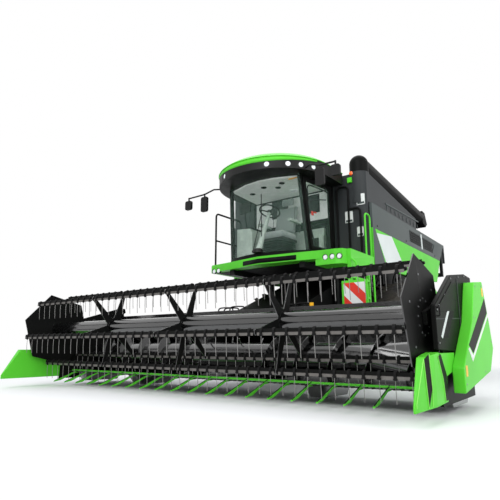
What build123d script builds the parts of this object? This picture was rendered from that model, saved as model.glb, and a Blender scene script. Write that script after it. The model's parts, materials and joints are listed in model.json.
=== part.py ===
from build123d import *
from math import cos, hypot, radians, sin, sqrt
import os

# Combine harvester with a grain header. Millimetres, +Z up, +X is the machine's own left side,
# -Y is forwards. The ground is z = 0 and the origin is below the middle of the whole machine.

# Driving dimensions: places along the machine
FRONT_AXLE_Y = -350
WHEELBASE = 3750
CUTTER_REACH = 3750
FEEDER_PIVOT_REACH = 650
FEEDER_PIVOT_Z = 1550
REAR_AXLE_Y = FRONT_AXLE_Y + WHEELBASE
CUTTER_Y = FRONT_AXLE_Y - CUTTER_REACH
FEEDER_PIVOT_Y = FRONT_AXLE_Y - FEEDER_PIVOT_REACH

# Driving dimensions: wheels
FRONT_TYRE_R = 900
FRONT_TYRE_W = 650
FRONT_RIM_R = 420
REAR_TYRE_R = 590
REAR_TYRE_W = 440
REAR_RIM_R = 320
HALF_TRACK = 1250
KINGPIN_X = 1000
TYRE_WALL = 45
RIM_WALL = 14
WHEEL_GAP = 0.4
RUNNING_GAP = 0.5
SEAT_GAP = 0.3

# Driving dimensions: body of the machine
SEPARATOR_HALF = 655
SEPARATOR_TOP = 2300
RAIL = (100, 180)
RAIL_Z = 1260
BEAM = (80, 90)
TANK_HALF = 1435
TANK_FRONT_Y = FRONT_AXLE_Y - 1350
TANK_LENGTH = 2600
TANK_SIDE_Z = 3060
TANK_TOP_Z = 3600
TANK_TOP_DROP = 280
TANK_WALL = 40
DOOR_INNER_X = 1445
DOOR_THICK = 45
DOOR_TOP_Z = 3035
DOOR_SPLIT_Z = 2600
DOOR_LENGTH = 4400
HOOD_LENGTH = 2200
HOOD_HALF = 1400
HOOD_WALL = 25
HOOD_TOP_Z = 3330

# Driving dimensions: cab and platform
CAB_FLOOR_Z = 2080
CAB_ROOF_Z = 3400
CAB_FRONT_Y = FRONT_AXLE_Y - 2250
CAB_REAR_Y = FRONT_AXLE_Y - 1430
CAB_HALF = 850
CAB_FRONT_HALF = 800
CAB_TOP_HALF = 735
CAB_TOP_LEAN = 130
WINDSCREEN_BULGE = 260
PILLAR = 55
GLASS = 8
DECK_Z = 1950

# Driving dimensions: header
HEADER_HALF = 3110
SIDE_PLATE = 30
SHEET = 25
AUGER_REACH = 580
AUGER_Z = 500
AUGER_R = 305
AUGER_TUBE_R = 200
TROUGH_GAP = 15
BACK_WALL_Z = 1200
CUTTER_Z = 250
FINGER_PITCH = 76.2
FINGERS = 82
LIFTERS = 19
LIFTER_EVERY = 4

# Driving dimensions: reel
REEL_AHEAD = 378
REEL_Z = 919
REEL_R = 556
REEL_TUBE_R = 115
REEL_HALF = 3046
REEL_PLATE = 12
REEL_PLATE_OVER = 44
REEL_PHASE = -13.35
BATS = 6
BAT_R = 20
TINE_PITCH = 152.4
TINES = 40
TINE_LENGTH = 250
TINE = 7
ARM_PIVOT_Z = 1300
ARM_PIVOT_BACK = 980

# Driving dimensions: unloading auger
SPOUT_X = 1250
SPOUT_Y = TANK_FRONT_Y + 150
SPOUT_Z = 3800
SPOUT_R = 150
SPOUT_LENGTH = 3250
SPOUT_FALL = 280
COLLAR = 20

HALF_TURN = 180
FULL_TURN = 360
SIDES = (-1, 1)


def slab(outline, x0, x1, mode=Mode.ADD):
    """Adds a plate whose outline is (y, z) points, from x0 to x1."""
    with BuildSketch(Plane.YZ.offset(x0)) as face:
        with BuildLine():
            Polyline(*outline, close=True)
        make_face()
    extrude(face.sketch, amount=x1 - x0, mode=mode)


def wall(outline, y0, y1, mode=Mode.ADD):
    """Adds a plate whose outline is (x, z) points, from y0 to y1."""
    with BuildSketch(Plane.XZ.offset(-y0)) as face:
        with BuildLine():
            Polyline(*outline, close=True)
        make_face()
    extrude(face.sketch, amount=y0 - y1, mode=mode)


def deck(outline, z0, z1, mode=Mode.ADD):
    """Adds a plate whose outline is (x, y) points, from z0 to z1."""
    with BuildSketch(Plane.XY.offset(z0)) as face:
        with BuildLine():
            Polyline(*outline, close=True)
        make_face()
    extrude(face.sketch, amount=z1 - z0, mode=mode)


def block(x0, x1, y0, y1, z0, z1, mode=Mode.ADD):
    """Adds a box between two corners."""
    deck([(x0, y0), (x1, y0), (x1, y1), (x0, y1)], z0, z1, mode)


def rod(start, end, radius, mode=Mode.ADD):
    """Adds a round bar between two points."""
    start, end = Vector(*start), Vector(*end)
    with BuildSketch(Plane(origin=start, z_dir=end - start)) as face:
        Circle(radius)
    extrude(face.sketch, amount=(end - start).length, mode=mode)


def pipe(points, radius, bend):
    """Adds a round pipe along straight runs with bends of one radius."""
    with BuildLine() as path:
        FilletPolyline(*points, radius=bend)
    with BuildSketch(Plane(origin=path.line @ 0, z_dir=path.line % 0)) as face:
        Circle(radius)
    sweep(face.sketch, path=path.line)


def finish(part, name):
    """Labels a finished piece and writes it to its own file."""
    part.label = name
    export_step(part, f"parts/{name}.step")


# Wheels: each is a lugged tyre on a dished rim, centred on its own axle
def wheel_places(half_track, axle_y, radius):
    """Gives the name and centre of the wheel on each side of an axle."""
    return [(name, (side * half_track, axle_y, radius)) for side, name in zip(SIDES, ("right", "left"))]


AXLES = [
    # name, axle y, tyre radius, tyre width, rim radius, lugs on each half, their rise and thickness
    ("front", FRONT_AXLE_Y, FRONT_TYRE_R, FRONT_TYRE_W, FRONT_RIM_R, 18, 45, 70),
    ("rear", REAR_AXLE_Y, REAR_TYRE_R, REAR_TYRE_W, REAR_RIM_R, 15, 32, 50),
]
RIM_LIP = 30
HUB_R = 150
HUB_HOLE_R = 60
DISC = 18
SHOULDER = 0.86
LUG_LEAN = 40
LUG_ROOT = 20
for axle, axle_y, tyre_r, tyre_w, rim_r, lugs, lug_rise, lug_thick in AXLES:
    half_w = tyre_w / 2
    bead_w = half_w - TYRE_WALL
    carcass_r = tyre_r - lug_rise
    bulge_r = rim_r + (carcass_r - rim_r) / 2
    flats = 2 * lugs
    # The casing has a flat for each lug, so that the lugs stand on plain faces
    half_profile = [(-bead_w, rim_r + WHEEL_GAP), (-half_w, bulge_r),
                    (-half_w * SHOULDER, carcass_r - TYRE_WALL), (-half_w / 2, carcass_r)]
    lug_length = (half_w - lug_thick * sin(radians(LUG_LEAN))) / cos(radians(LUG_LEAN))
    lug_reach = (lug_length * sin(radians(LUG_LEAN)) + lug_thick) / 2
    lug_top = sqrt(tyre_r**2 - lug_reach**2)
    with BuildPart() as tyre:
        bands = []
        for x, radius in half_profile + [(-x, radius) for x, radius in reversed(half_profile)]:
            with BuildSketch(Plane.YZ.offset(x)) as band:
                RegularPolygon(radius, flats, major_radius=False)
            bands.append(band.sketch.face())
        loft(bands, ruled=True)
        lug_places = [Location((0, 0, 0), (i * FULL_TURN / flats, 0, 0))
                      * Location((SIDES[i % 2] * half_w / 2, 0, lug_top), (0, 0, SIDES[i % 2] * LUG_LEAN))
                      for i in range(flats)]
        with Locations(*lug_places):
            Box(lug_length, lug_thick, lug_rise + LUG_ROOT, align=(Align.CENTER, Align.CENTER, Align.MAX))
        with BuildSketch(Plane.YZ.offset(-half_w)) as bore:
            RegularPolygon(rim_r + WHEEL_GAP, flats, major_radius=False)
        extrude(bore.sketch, amount=tyre_w, mode=Mode.SUBTRACT)
    for side, (name, centre) in zip(SIDES, wheel_places(HALF_TRACK, axle_y, tyre_r)):
        tyre_part = Location(centre) * tyre.part
        finish(tyre_part, f"{axle}_tyre_{name}")

        # The rim is a well between two lips, closed by a dished disc on the hub's side
        face_x = side * (bead_w - 3 * RIM_LIP)
        with BuildPart() as rim:
            with BuildSketch(Plane.XY) as well:
                with BuildLine():
                    Polyline(
                        (-bead_w, rim_r),
                        (bead_w, rim_r),
                        (bead_w, rim_r - RIM_WALL),
                        (bead_w - RIM_LIP, rim_r - RIM_WALL - RIM_LIP),
                        (-bead_w + RIM_LIP, rim_r - RIM_WALL - RIM_LIP),
                        (-bead_w, rim_r - RIM_WALL),
                        close=True,
                    )
                make_face()
            revolve(well.sketch, axis=Axis.X)
            with BuildSketch(Plane.YZ.offset(-bead_w)) as bore:
                Circle(rim_r - 2 * RIM_WALL - RIM_LIP)
            extrude(bore.sketch, amount=2 * bead_w, mode=Mode.SUBTRACT)
            with BuildSketch(Plane.XY) as dish:
                with BuildLine():
                    Polyline(
                        (face_x, rim_r - RIM_WALL - RIM_LIP),
                        (face_x - side * 2 * RIM_LIP, HUB_R + RIM_LIP),
                        (face_x - side * 2 * RIM_LIP, HUB_HOLE_R),
                        (face_x - side * (2 * RIM_LIP + DISC), HUB_HOLE_R),
                        (face_x - side * (2 * RIM_LIP + DISC), HUB_R + RIM_LIP),
                        (face_x - side * DISC, rim_r - RIM_WALL - RIM_LIP),
                        close=True,
                    )
                make_face()
            revolve(dish.sketch, axis=Axis.X)
        rim_part = Location(centre) * rim.part
        finish(rim_part, f"{axle}_rim_{name}")

# Front axle: a beam under the body, a final drive and a wheel flange on each side, and the
# ears that carry the header's lift cylinders
AXLE_BEAM = 200
FRONT_DISC_X = HALF_TRACK + (FRONT_TYRE_W / 2 - TYRE_WALL - 3 * RIM_LIP) - 2 * RIM_LIP - DISC
REAR_DISC_X = HALF_TRACK + (REAR_TYRE_W / 2 - TYRE_WALL - 3 * RIM_LIP) - 2 * RIM_LIP - DISC
DRIVE_CASE_R = 210
DRIVE_CASE_X = 760
LIFT_X = 520
LIFT_FOOT_Y = FRONT_AXLE_Y - 200
LIFT_FOOT_Z = 620
LIFT_PIN_R = 25
EAR = 30
LIFT_GAP = 50
with BuildPart() as front_axle:
    block(-DRIVE_CASE_X, DRIVE_CASE_X, FRONT_AXLE_Y - AXLE_BEAM / 2, FRONT_AXLE_Y + AXLE_BEAM / 2,
          FRONT_TYRE_R - AXLE_BEAM / 2, FRONT_TYRE_R + AXLE_BEAM / 2)
    for side in SIDES:
        rod((side * (DRIVE_CASE_X - EAR), FRONT_AXLE_Y, FRONT_TYRE_R),
            (side * (DRIVE_CASE_X + 150), FRONT_AXLE_Y, FRONT_TYRE_R), DRIVE_CASE_R)
        rod((side * DRIVE_CASE_X, FRONT_AXLE_Y, FRONT_TYRE_R),
            (side * (FRONT_DISC_X - WHEEL_GAP), FRONT_AXLE_Y, FRONT_TYRE_R), HUB_R)
        rod((side * DRIVE_CASE_X, FRONT_AXLE_Y, FRONT_TYRE_R),
            (side * (FRONT_DISC_X + 2 * DISC), FRONT_AXLE_Y, FRONT_TYRE_R), HUB_HOLE_R - WHEEL_GAP)
        # A pedestal joins the beam to the frame rail above it
        block(side * (SEPARATOR_HALF + 10), side * (SEPARATOR_HALF + RAIL[0]),
              FRONT_AXLE_Y - AXLE_BEAM / 2, FRONT_AXLE_Y + AXLE_BEAM / 2, FRONT_TYRE_R, RAIL_Z)
        for ear_x in (LIFT_X - LIFT_GAP - EAR, LIFT_X + LIFT_GAP):
            slab([(FRONT_AXLE_Y - AXLE_BEAM / 2 + EAR, FRONT_TYRE_R + AXLE_BEAM / 2),
                  (FRONT_AXLE_Y - AXLE_BEAM / 2 + EAR, FRONT_TYRE_R - AXLE_BEAM / 2 - 2 * EAR),
                  (LIFT_FOOT_Y + EAR, LIFT_FOOT_Z - 2 * EAR), (LIFT_FOOT_Y - 2 * EAR, LIFT_FOOT_Z - 2 * EAR),
                  (LIFT_FOOT_Y - 2 * EAR, LIFT_FOOT_Z + 2 * EAR),
                  (FRONT_AXLE_Y - AXLE_BEAM / 2 - EAR, FRONT_TYRE_R)],
                 side * ear_x, side * (ear_x + EAR))
        rod((side * (LIFT_X - LIFT_GAP - EAR), LIFT_FOOT_Y, LIFT_FOOT_Z),
            (side * (LIFT_X + LIFT_GAP + EAR), LIFT_FOOT_Y, LIFT_FOOT_Z), LIFT_PIN_R)
finish(front_axle.part, "front_axle")

# Main frame: two rails beside the threshing body, cross beams over it, and posts for the
# side doors, the tank and the engine hood; a tow hitch closes it at the back
RAIL_FRONT_Y = FEEDER_PIVOT_Y - 100
SHAFT_R = 45
RAIL_REAR_Y = REAR_AXLE_Y + 480
TANK_REAR_Y = TANK_FRONT_Y + TANK_LENGTH
HOOD_FRONT_Y = TANK_REAR_Y + 50
HOOD_REAR_Y = HOOD_FRONT_Y + HOOD_LENGTH
POST = 60
HITCH_Z = 600
HITCH_Y = REAR_AXLE_Y + 980
HITCH_PIN_R = 16
STATIONS = [
    # y of the cross beam's front, height of its posts
    (TANK_FRONT_Y + 200, TANK_SIDE_Z - 100),
    (TANK_REAR_Y - 200, TANK_SIDE_Z - 100),
    (HOOD_REAR_Y - 300, TANK_SIDE_Z - 30),
]
with BuildPart() as main_frame:
    for side in SIDES:
        block(side * SEPARATOR_HALF + side * 5, side * (SEPARATOR_HALF + RAIL[0]),
              RAIL_FRONT_Y, RAIL_REAR_Y, RAIL_Z, RAIL_Z + RAIL[1])
        for station_y, post_top in STATIONS:
            block(side * (SEPARATOR_HALF + 5), side * (SEPARATOR_HALF + POST),
                  station_y, station_y + BEAM[0], RAIL_Z, SEPARATOR_TOP + BEAM[1])
            block(side * (HOOD_HALF - POST), side * HOOD_HALF,
                  station_y, station_y + BEAM[0], SEPARATOR_TOP, post_top)
            # A lug on the post carries the side door's hinge
            block(side * HOOD_HALF, side * (DOOR_INNER_X - SEAT_GAP), station_y, station_y + BEAM[0],
                  TANK_SIDE_Z - 160, TANK_SIDE_Z - 110)
        # The upright at the rail's front carries the feeder's shaft, and an arm reaches under the cab
        block(side * (SEPARATOR_HALF + 5), side * (SEPARATOR_HALF + RAIL[0]),
              RAIL_FRONT_Y, FEEDER_PIVOT_Y + 100, RAIL_Z, DECK_Z)
        block(side * (SEPARATOR_HALF + 5), side * (SEPARATOR_HALF + RAIL[0]),
              CAB_FRONT_Y - 80, RAIL_FRONT_Y, DECK_Z - 90, DECK_Z)
        rod((side * SEPARATOR_HALF, FEEDER_PIVOT_Y, FEEDER_PIVOT_Z),
            (side * (SEPARATOR_HALF + RAIL[0] + 1), FEEDER_PIVOT_Y, FEEDER_PIVOT_Z), SHAFT_R + RUNNING_GAP,
            mode=Mode.SUBTRACT)
    for station_y, post_top in STATIONS:
        block(-HOOD_HALF, HOOD_HALF, station_y, station_y + BEAM[0], SEPARATOR_TOP, SEPARATOR_TOP + BEAM[1])
finish(main_frame.part, "main_frame")

# Threshing and separating body: one closed housing between the frame rails
SEPARATOR_FRONT_Y = FEEDER_PIVOT_Y + 350
SEPARATOR_REAR_Y = REAR_AXLE_Y - 400
with BuildPart() as separator_housing:
    slab([(SEPARATOR_FRONT_Y, SEPARATOR_TOP), (SEPARATOR_REAR_Y, SEPARATOR_TOP),
          (SEPARATOR_REAR_Y, 1000), (REAR_AXLE_Y - 900, 950), (FRONT_AXLE_Y + 1900, 640),
          (FRONT_AXLE_Y + 900, 620), (FRONT_AXLE_Y + 600, 1030), (SEPARATOR_FRONT_Y, 1080)],
         -SEPARATOR_HALF, SEPARATOR_HALF)
finish(separator_housing.part, "separator_housing")

# Side drives: belts and pulleys on both sides of the body, in two lanes outside the frame rails
BELT = 8
BELT_WIDE = 24
LANE_X = SEPARATOR_HALF + RAIL[0] + 12
LANE = 32
PULLEY_HUB = 55
SHAFT_END_R = 30
DRIVES = [
    # side, lane, then y, z and radius of each of the belt's two pulleys
    (1, 0, (-450, 1790, 230), (150, 1960, 150)),
    (1, 1, (150, 1960, 190), (1300, 1980, 260)),
    (1, 0, (1300, 1980, 190), (2300, 1760, 230)),
    (-1, 0, (-450, 1790, 250), (480, 1920, 150)),
    (-1, 1, (480, 1920, 200), (1900, 1780, 290)),
    (-1, 0, (1900, 1780, 150), (2500, 2000, 190)),
]
with BuildPart() as side_drives:
    for side, lane, *pulleys in DRIVES:
        lane_x = side * (LANE_X + lane * LANE)
        for growth, mode in ((BELT, Mode.ADD), (0, Mode.SUBTRACT)):
            with BuildSketch(Plane.YZ.offset(lane_x)) as loop:
                for y, z, radius in pulleys:
                    with Locations((y, z)):
                        Circle(radius + growth - 1)
                make_hull()
            extrude(loop.sketch, amount=side * BELT_WIDE, mode=mode)
    for side, lane, *pulleys in DRIVES:
        lane_x = side * (LANE_X + lane * LANE)
        for y, z, radius in pulleys:
            with BuildSketch(Plane.YZ.offset(lane_x)) as disc:
                with Locations((y, z)):
                    Circle(radius)
                    with PolarLocations(radius * 0.62, 5):
                        Circle(radius * 0.2, mode=Mode.SUBTRACT)
            extrude(disc.sketch, amount=side * BELT_WIDE)
            rod((side * (LANE_X - 6), y, z), (side * (LANE_X + 2 * LANE), y, z), PULLEY_HUB)
            rod((side * (SEPARATOR_HALF + SEAT_GAP), y, z), (side * (LANE_X + 2 * LANE + 15), y, z),
                SHAFT_END_R)
finish(side_drives.part, "side_drives")

# Straw hood: the shell behind the body, open below, over the chopper
HOOD_TAIL_Y = REAR_AXLE_Y + 1850
STRAW_HALF = 740
with BuildPart() as straw_hood:
    slab([(SEPARATOR_REAR_Y, 1460), (SEPARATOR_REAR_Y, 2650), (REAR_AXLE_Y + 300, 2600),
          (HOOD_TAIL_Y - 150, 1950), (HOOD_TAIL_Y, 1560), (HOOD_TAIL_Y - 100, 1320),
          (REAR_AXLE_Y + 700, 1320), (REAR_AXLE_Y + 500, 1460)],
         -STRAW_HALF, STRAW_HALF)
    slab([(SEPARATOR_REAR_Y + HOOD_WALL, 1400), (SEPARATOR_REAR_Y + HOOD_WALL, 2650 - HOOD_WALL),
          (REAR_AXLE_Y + 300 - HOOD_WALL, 2600 - HOOD_WALL),
          (HOOD_TAIL_Y - 150 - HOOD_WALL, 1950 - HOOD_WALL), (HOOD_TAIL_Y - HOOD_WALL, 1560),
          (HOOD_TAIL_Y - 100 - HOOD_WALL, 1300), (REAR_AXLE_Y + 700, 1300)],
         -STRAW_HALF + HOOD_WALL, STRAW_HALF - HOOD_WALL, mode=Mode.SUBTRACT)
finish(straw_hood.part, "straw_hood")

# Straw chopper: rotor box under the hood's tail with a spreading board behind it
CHOPPER_Z = 1320
VANES = 8
VANE_PITCH = 180
VANE_THICK = 10
with BuildPart() as straw_chopper:
    slab([(REAR_AXLE_Y + 900, CHOPPER_Z), (REAR_AXLE_Y + 850, 1100), (REAR_AXLE_Y + 1000, 860),
          (REAR_AXLE_Y + 1400, 860), (REAR_AXLE_Y + 1850, 990), (REAR_AXLE_Y + 1890, 1060),
          (REAR_AXLE_Y + 1750, CHOPPER_Z)],
         -STRAW_HALF, STRAW_HALF)
    for i in range(VANES):
        x = (i - (VANES - 1) / 2) * VANE_PITCH
        slab([(REAR_AXLE_Y + 1420, 870), (REAR_AXLE_Y + 1840, 990), (REAR_AXLE_Y + 1840, 930),
              (REAR_AXLE_Y + 1640, 820), (REAR_AXLE_Y + 1420, 790)], x - VANE_THICK / 2, x + VANE_THICK / 2)
    for side in SIDES:
        for reach, radius in ((45, 90), (80, 35)):
            rod((side * STRAW_HALF, REAR_AXLE_Y + 1230, 1080),
                (side * (STRAW_HALF + reach), REAR_AXLE_Y + 1230, 1080), radius)
finish(straw_chopper.part, "straw_chopper")

# Rear axle: a beam hung under the frame, a kingpin at each end
KINGPIN_R = 40
AXLE_LOW_Z = 510
AXLE_TOP_Z = 690
FORK_GAP = 6
FORK = 60
with BuildPart() as rear_axle:
    block(-KINGPIN_X + 90, KINGPIN_X - 90, REAR_AXLE_Y - 90, REAR_AXLE_Y + 90, AXLE_LOW_Z, AXLE_TOP_Z)
    for side in SIDES:
        rod((side * KINGPIN_X, REAR_AXLE_Y, AXLE_LOW_Z), (side * KINGPIN_X, REAR_AXLE_Y, AXLE_TOP_Z), 100)
    block(-250, 250, REAR_AXLE_Y - 70, REAR_AXLE_Y + 70, AXLE_TOP_Z, 1180)
    block(-SEPARATOR_HALF - RAIL[0], SEPARATOR_HALF + RAIL[0], REAR_AXLE_Y - 70, REAR_AXLE_Y + 70,
          1180, RAIL_Z)
    # The tow hitch reaches back from the beam with a jaw for the drawbar's pin
    block(-60, 60, REAR_AXLE_Y + 90, HITCH_Y - 70, HITCH_Z - 50, HITCH_Z + 50)
    for low in (HITCH_Z - 50, HITCH_Z + 25):
        block(-50, 50, HITCH_Y - 70, HITCH_Y + 50, low, low + 25)
    rod((0, HITCH_Y, HITCH_Z - 51), (0, HITCH_Y, HITCH_Z + 51), HITCH_PIN_R, mode=Mode.SUBTRACT)
    for side in SIDES:
        rod((side * KINGPIN_X, REAR_AXLE_Y, AXLE_LOW_Z - 1), (side * KINGPIN_X, REAR_AXLE_Y, AXLE_TOP_Z + 1),
            KINGPIN_R + RUNNING_GAP, mode=Mode.SUBTRACT)
finish(rear_axle.part, "rear_axle")

# Steering knuckles: a fork round the axle's end with the stub axle of the wheel
for side, name in zip(SIDES, ("right", "left")):
    with BuildPart() as knuckle:
        for low, high in ((AXLE_LOW_Z - FORK_GAP - FORK, AXLE_LOW_Z - FORK_GAP),
                          (AXLE_TOP_Z + FORK_GAP, AXLE_TOP_Z + FORK_GAP + FORK)):
            block(side * (KINGPIN_X - 80), side * (KINGPIN_X + 165), REAR_AXLE_Y - 80, REAR_AXLE_Y + 80,
                  low, high)
        block(side * (KINGPIN_X + 115), side * (KINGPIN_X + 165), REAR_AXLE_Y - 80, REAR_AXLE_Y + 80,
              AXLE_LOW_Z - FORK, AXLE_TOP_Z + FORK)
        rod((side * (KINGPIN_X + 130), REAR_AXLE_Y, REAR_TYRE_R),
            (side * (REAR_DISC_X - WHEEL_GAP), REAR_AXLE_Y, REAR_TYRE_R), HUB_R - 40)
        rod((side * (KINGPIN_X + 130), REAR_AXLE_Y, REAR_TYRE_R),
            (side * (REAR_DISC_X + 2 * DISC), REAR_AXLE_Y, REAR_TYRE_R), HUB_HOLE_R - WHEEL_GAP)
        rod((side * KINGPIN_X, REAR_AXLE_Y, AXLE_LOW_Z - FORK),
            (side * KINGPIN_X, REAR_AXLE_Y, AXLE_TOP_Z + FORK), KINGPIN_R)
    finish(knuckle.part, f"knuckle_{name}")

# Grain tank: an open bin with a hopper bottom, a full front wall and a sloping rim
HOPPER_HALF = 700
HOPPER_Z = SEPARATOR_TOP + BEAM[1]
BULKHEAD_Z = 2080
COVER_GAP = 4
COVER_SPLIT_X = -200
COVER_LEFT_X = 1000
with BuildPart() as grain_tank:
    wall([(-HOPPER_HALF, HOPPER_Z), (HOPPER_HALF, HOPPER_Z), (TANK_HALF, TANK_SIDE_Z),
          (TANK_HALF, TANK_TOP_Z), (-TANK_HALF, TANK_TOP_Z), (-TANK_HALF, TANK_SIDE_Z)],
         TANK_FRONT_Y, TANK_REAR_Y)
    wall([(-HOPPER_HALF + TANK_WALL / 2, HOPPER_Z + TANK_WALL),
          (HOPPER_HALF - TANK_WALL / 2, HOPPER_Z + TANK_WALL),
          (TANK_HALF - TANK_WALL, TANK_SIDE_Z + TANK_WALL), (TANK_HALF - TANK_WALL, TANK_TOP_Z + 10),
          (-TANK_HALF + TANK_WALL, TANK_TOP_Z + 10), (-TANK_HALF + TANK_WALL, TANK_SIDE_Z + TANK_WALL)],
         TANK_FRONT_Y + TANK_WALL, TANK_REAR_Y - TANK_WALL, mode=Mode.SUBTRACT)
    block(-TANK_HALF, TANK_HALF, TANK_FRONT_Y, TANK_FRONT_Y + TANK_WALL, BULKHEAD_Z, TANK_TOP_Z - 60)
    slab([(TANK_FRONT_Y, TANK_TOP_Z), (TANK_REAR_Y, TANK_TOP_Z - TANK_TOP_DROP),
          (TANK_REAR_Y, TANK_TOP_Z + 50), (TANK_FRONT_Y, TANK_TOP_Z + 50)],
         -TANK_HALF - 1, TANK_HALF + 1, mode=Mode.SUBTRACT)
    # The deck under the stowed unloading auger, and the standing pipe that carries it
    slab([(TANK_FRONT_Y, TANK_TOP_Z - TANK_WALL), (TANK_REAR_Y, TANK_TOP_Z - TANK_TOP_DROP - TANK_WALL),
          (TANK_REAR_Y, TANK_TOP_Z - TANK_TOP_DROP), (TANK_FRONT_Y, TANK_TOP_Z)],
         COVER_LEFT_X, TANK_HALF)
    rod((SPOUT_X, SPOUT_Y, TANK_SIDE_Z), (SPOUT_X, SPOUT_Y, SPOUT_Z - SPOUT_R - COLLAR), SPOUT_R + 20)
finish(grain_tank.part, "grain_tank")

# Tank covers: two flaps hinged at the bin's long edges, meeting off the middle
COVER_THICK = 25
cover_ends = (TANK_FRONT_Y + 5, TANK_REAR_Y - 5)
rim_ends = [TANK_TOP_Z - TANK_TOP_DROP * (y - TANK_FRONT_Y) / TANK_LENGTH + SEAT_GAP for y in cover_ends]
COVERS = [
    # name, hinge x, meeting x
    ("right", -TANK_HALF + 20, COVER_SPLIT_X - COVER_GAP),
    ("left", COVER_LEFT_X - 20, COVER_SPLIT_X + COVER_GAP),
]
for name, hinge_x, meet_x in COVERS:
    with BuildPart() as cover:
        slab([(cover_ends[0], rim_ends[0]), (cover_ends[1], rim_ends[1]),
              (cover_ends[1], rim_ends[1] + COVER_THICK), (cover_ends[0], rim_ends[0] + COVER_THICK)],
             hinge_x, meet_x)
    finish(cover.part, f"tank_cover_{name}")

# Unloading auger: an elbow on the standing pipe, the long tube and its hanging spout
spout_tip = (SPOUT_X, SPOUT_Y + SPOUT_LENGTH, SPOUT_Z - SPOUT_FALL)
with BuildPart() as unloading_auger:
    rod((SPOUT_X, SPOUT_Y, SPOUT_Z - SPOUT_R - COLLAR + SEAT_GAP), (SPOUT_X, SPOUT_Y, SPOUT_Z), SPOUT_R + 15)
    with Locations((SPOUT_X, SPOUT_Y, SPOUT_Z)):
        Sphere(SPOUT_R + 15)
    rod((SPOUT_X, SPOUT_Y, SPOUT_Z), spout_tip, SPOUT_R)
    slab([(spout_tip[1] - 120, spout_tip[2] - SPOUT_R + 20),
          (spout_tip[1] - 120, spout_tip[2] + SPOUT_R - 10),
          (spout_tip[1] + 60, spout_tip[2] + SPOUT_R - 25), (spout_tip[1] + 190, spout_tip[2] - 120),
          (spout_tip[1] + 60, spout_tip[2] - SPOUT_R - 60)],
         SPOUT_X - SPOUT_R + 10, SPOUT_X + SPOUT_R - 10)
finish(unloading_auger.part, "unloading_auger")

# Engine: one block on the body's top behind the tank
with BuildPart() as engine_block:
    block(-700, 450, HOOD_FRONT_Y + 350, HOOD_FRONT_Y + 1450, SEPARATOR_TOP + BEAM[1] + 10, 3020)
    block(-500, 250, HOOD_FRONT_Y + 500, HOOD_FRONT_Y + 1300, SEPARATOR_TOP, SEPARATOR_TOP + BEAM[1] + 10)
finish(engine_block.part, "engine_block")

# Engine hood: a shell over the engine with a sloping roof, open below
HOOD_EDGE_Z = 3110
HOOD_RIDGE_HALF = 1000
GRILLE_CENTRES = (-560, 0, 560)
GRILLE_HALF = 230
GRILLE_SLOTS = 9
GRILLE_LOW_Z = 2740
GRILLE_PITCH = 44
GRILLE_OPEN = 24
with BuildPart() as engine_hood:
    wall([(-HOOD_HALF, TANK_SIDE_Z - 30), (-HOOD_HALF, HOOD_EDGE_Z), (-HOOD_RIDGE_HALF, HOOD_TOP_Z),
          (HOOD_RIDGE_HALF, HOOD_TOP_Z), (HOOD_HALF, HOOD_EDGE_Z), (HOOD_HALF, TANK_SIDE_Z - 30)],
         HOOD_FRONT_Y, HOOD_REAR_Y)
    wall([(-HOOD_HALF + HOOD_WALL, TANK_SIDE_Z - 31), (-HOOD_HALF + HOOD_WALL, HOOD_EDGE_Z - HOOD_WALL),
          (-HOOD_RIDGE_HALF, HOOD_TOP_Z - HOOD_WALL), (HOOD_RIDGE_HALF, HOOD_TOP_Z - HOOD_WALL),
          (HOOD_HALF - HOOD_WALL, HOOD_EDGE_Z - HOOD_WALL), (HOOD_HALF - HOOD_WALL, TANK_SIDE_Z - 31)],
         HOOD_FRONT_Y + HOOD_WALL, HOOD_REAR_Y - HOOD_WALL, mode=Mode.SUBTRACT)
    # The rear wall reaches down to the straw hood
    block(-HOOD_HALF, HOOD_HALF, HOOD_REAR_Y - HOOD_WALL, HOOD_REAR_Y, 2660, TANK_SIDE_Z)
    # A skirt inside each row of posts closes the engine's room behind the side door
    for side in SIDES:
        slab([(HOOD_REAR_Y - 850, 2420), (HOOD_REAR_Y - HOOD_WALL / 2, 2665),
              (HOOD_REAR_Y - HOOD_WALL / 2, 3160), (HOOD_REAR_Y - 850, 3160)],
             side * (HOOD_HALF - POST - 30), side * (HOOD_HALF - POST - 8))
    for x in GRILLE_CENTRES:
        for i in range(GRILLE_SLOTS):
            z = GRILLE_LOW_Z + i * GRILLE_PITCH
            block(x - GRILLE_HALF, x + GRILLE_HALF, HOOD_REAR_Y - HOOD_WALL - 1, HOOD_REAR_Y + 1,
                  z, z + GRILLE_OPEN, mode=Mode.SUBTRACT)
finish(engine_hood.part, "engine_hood")

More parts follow.
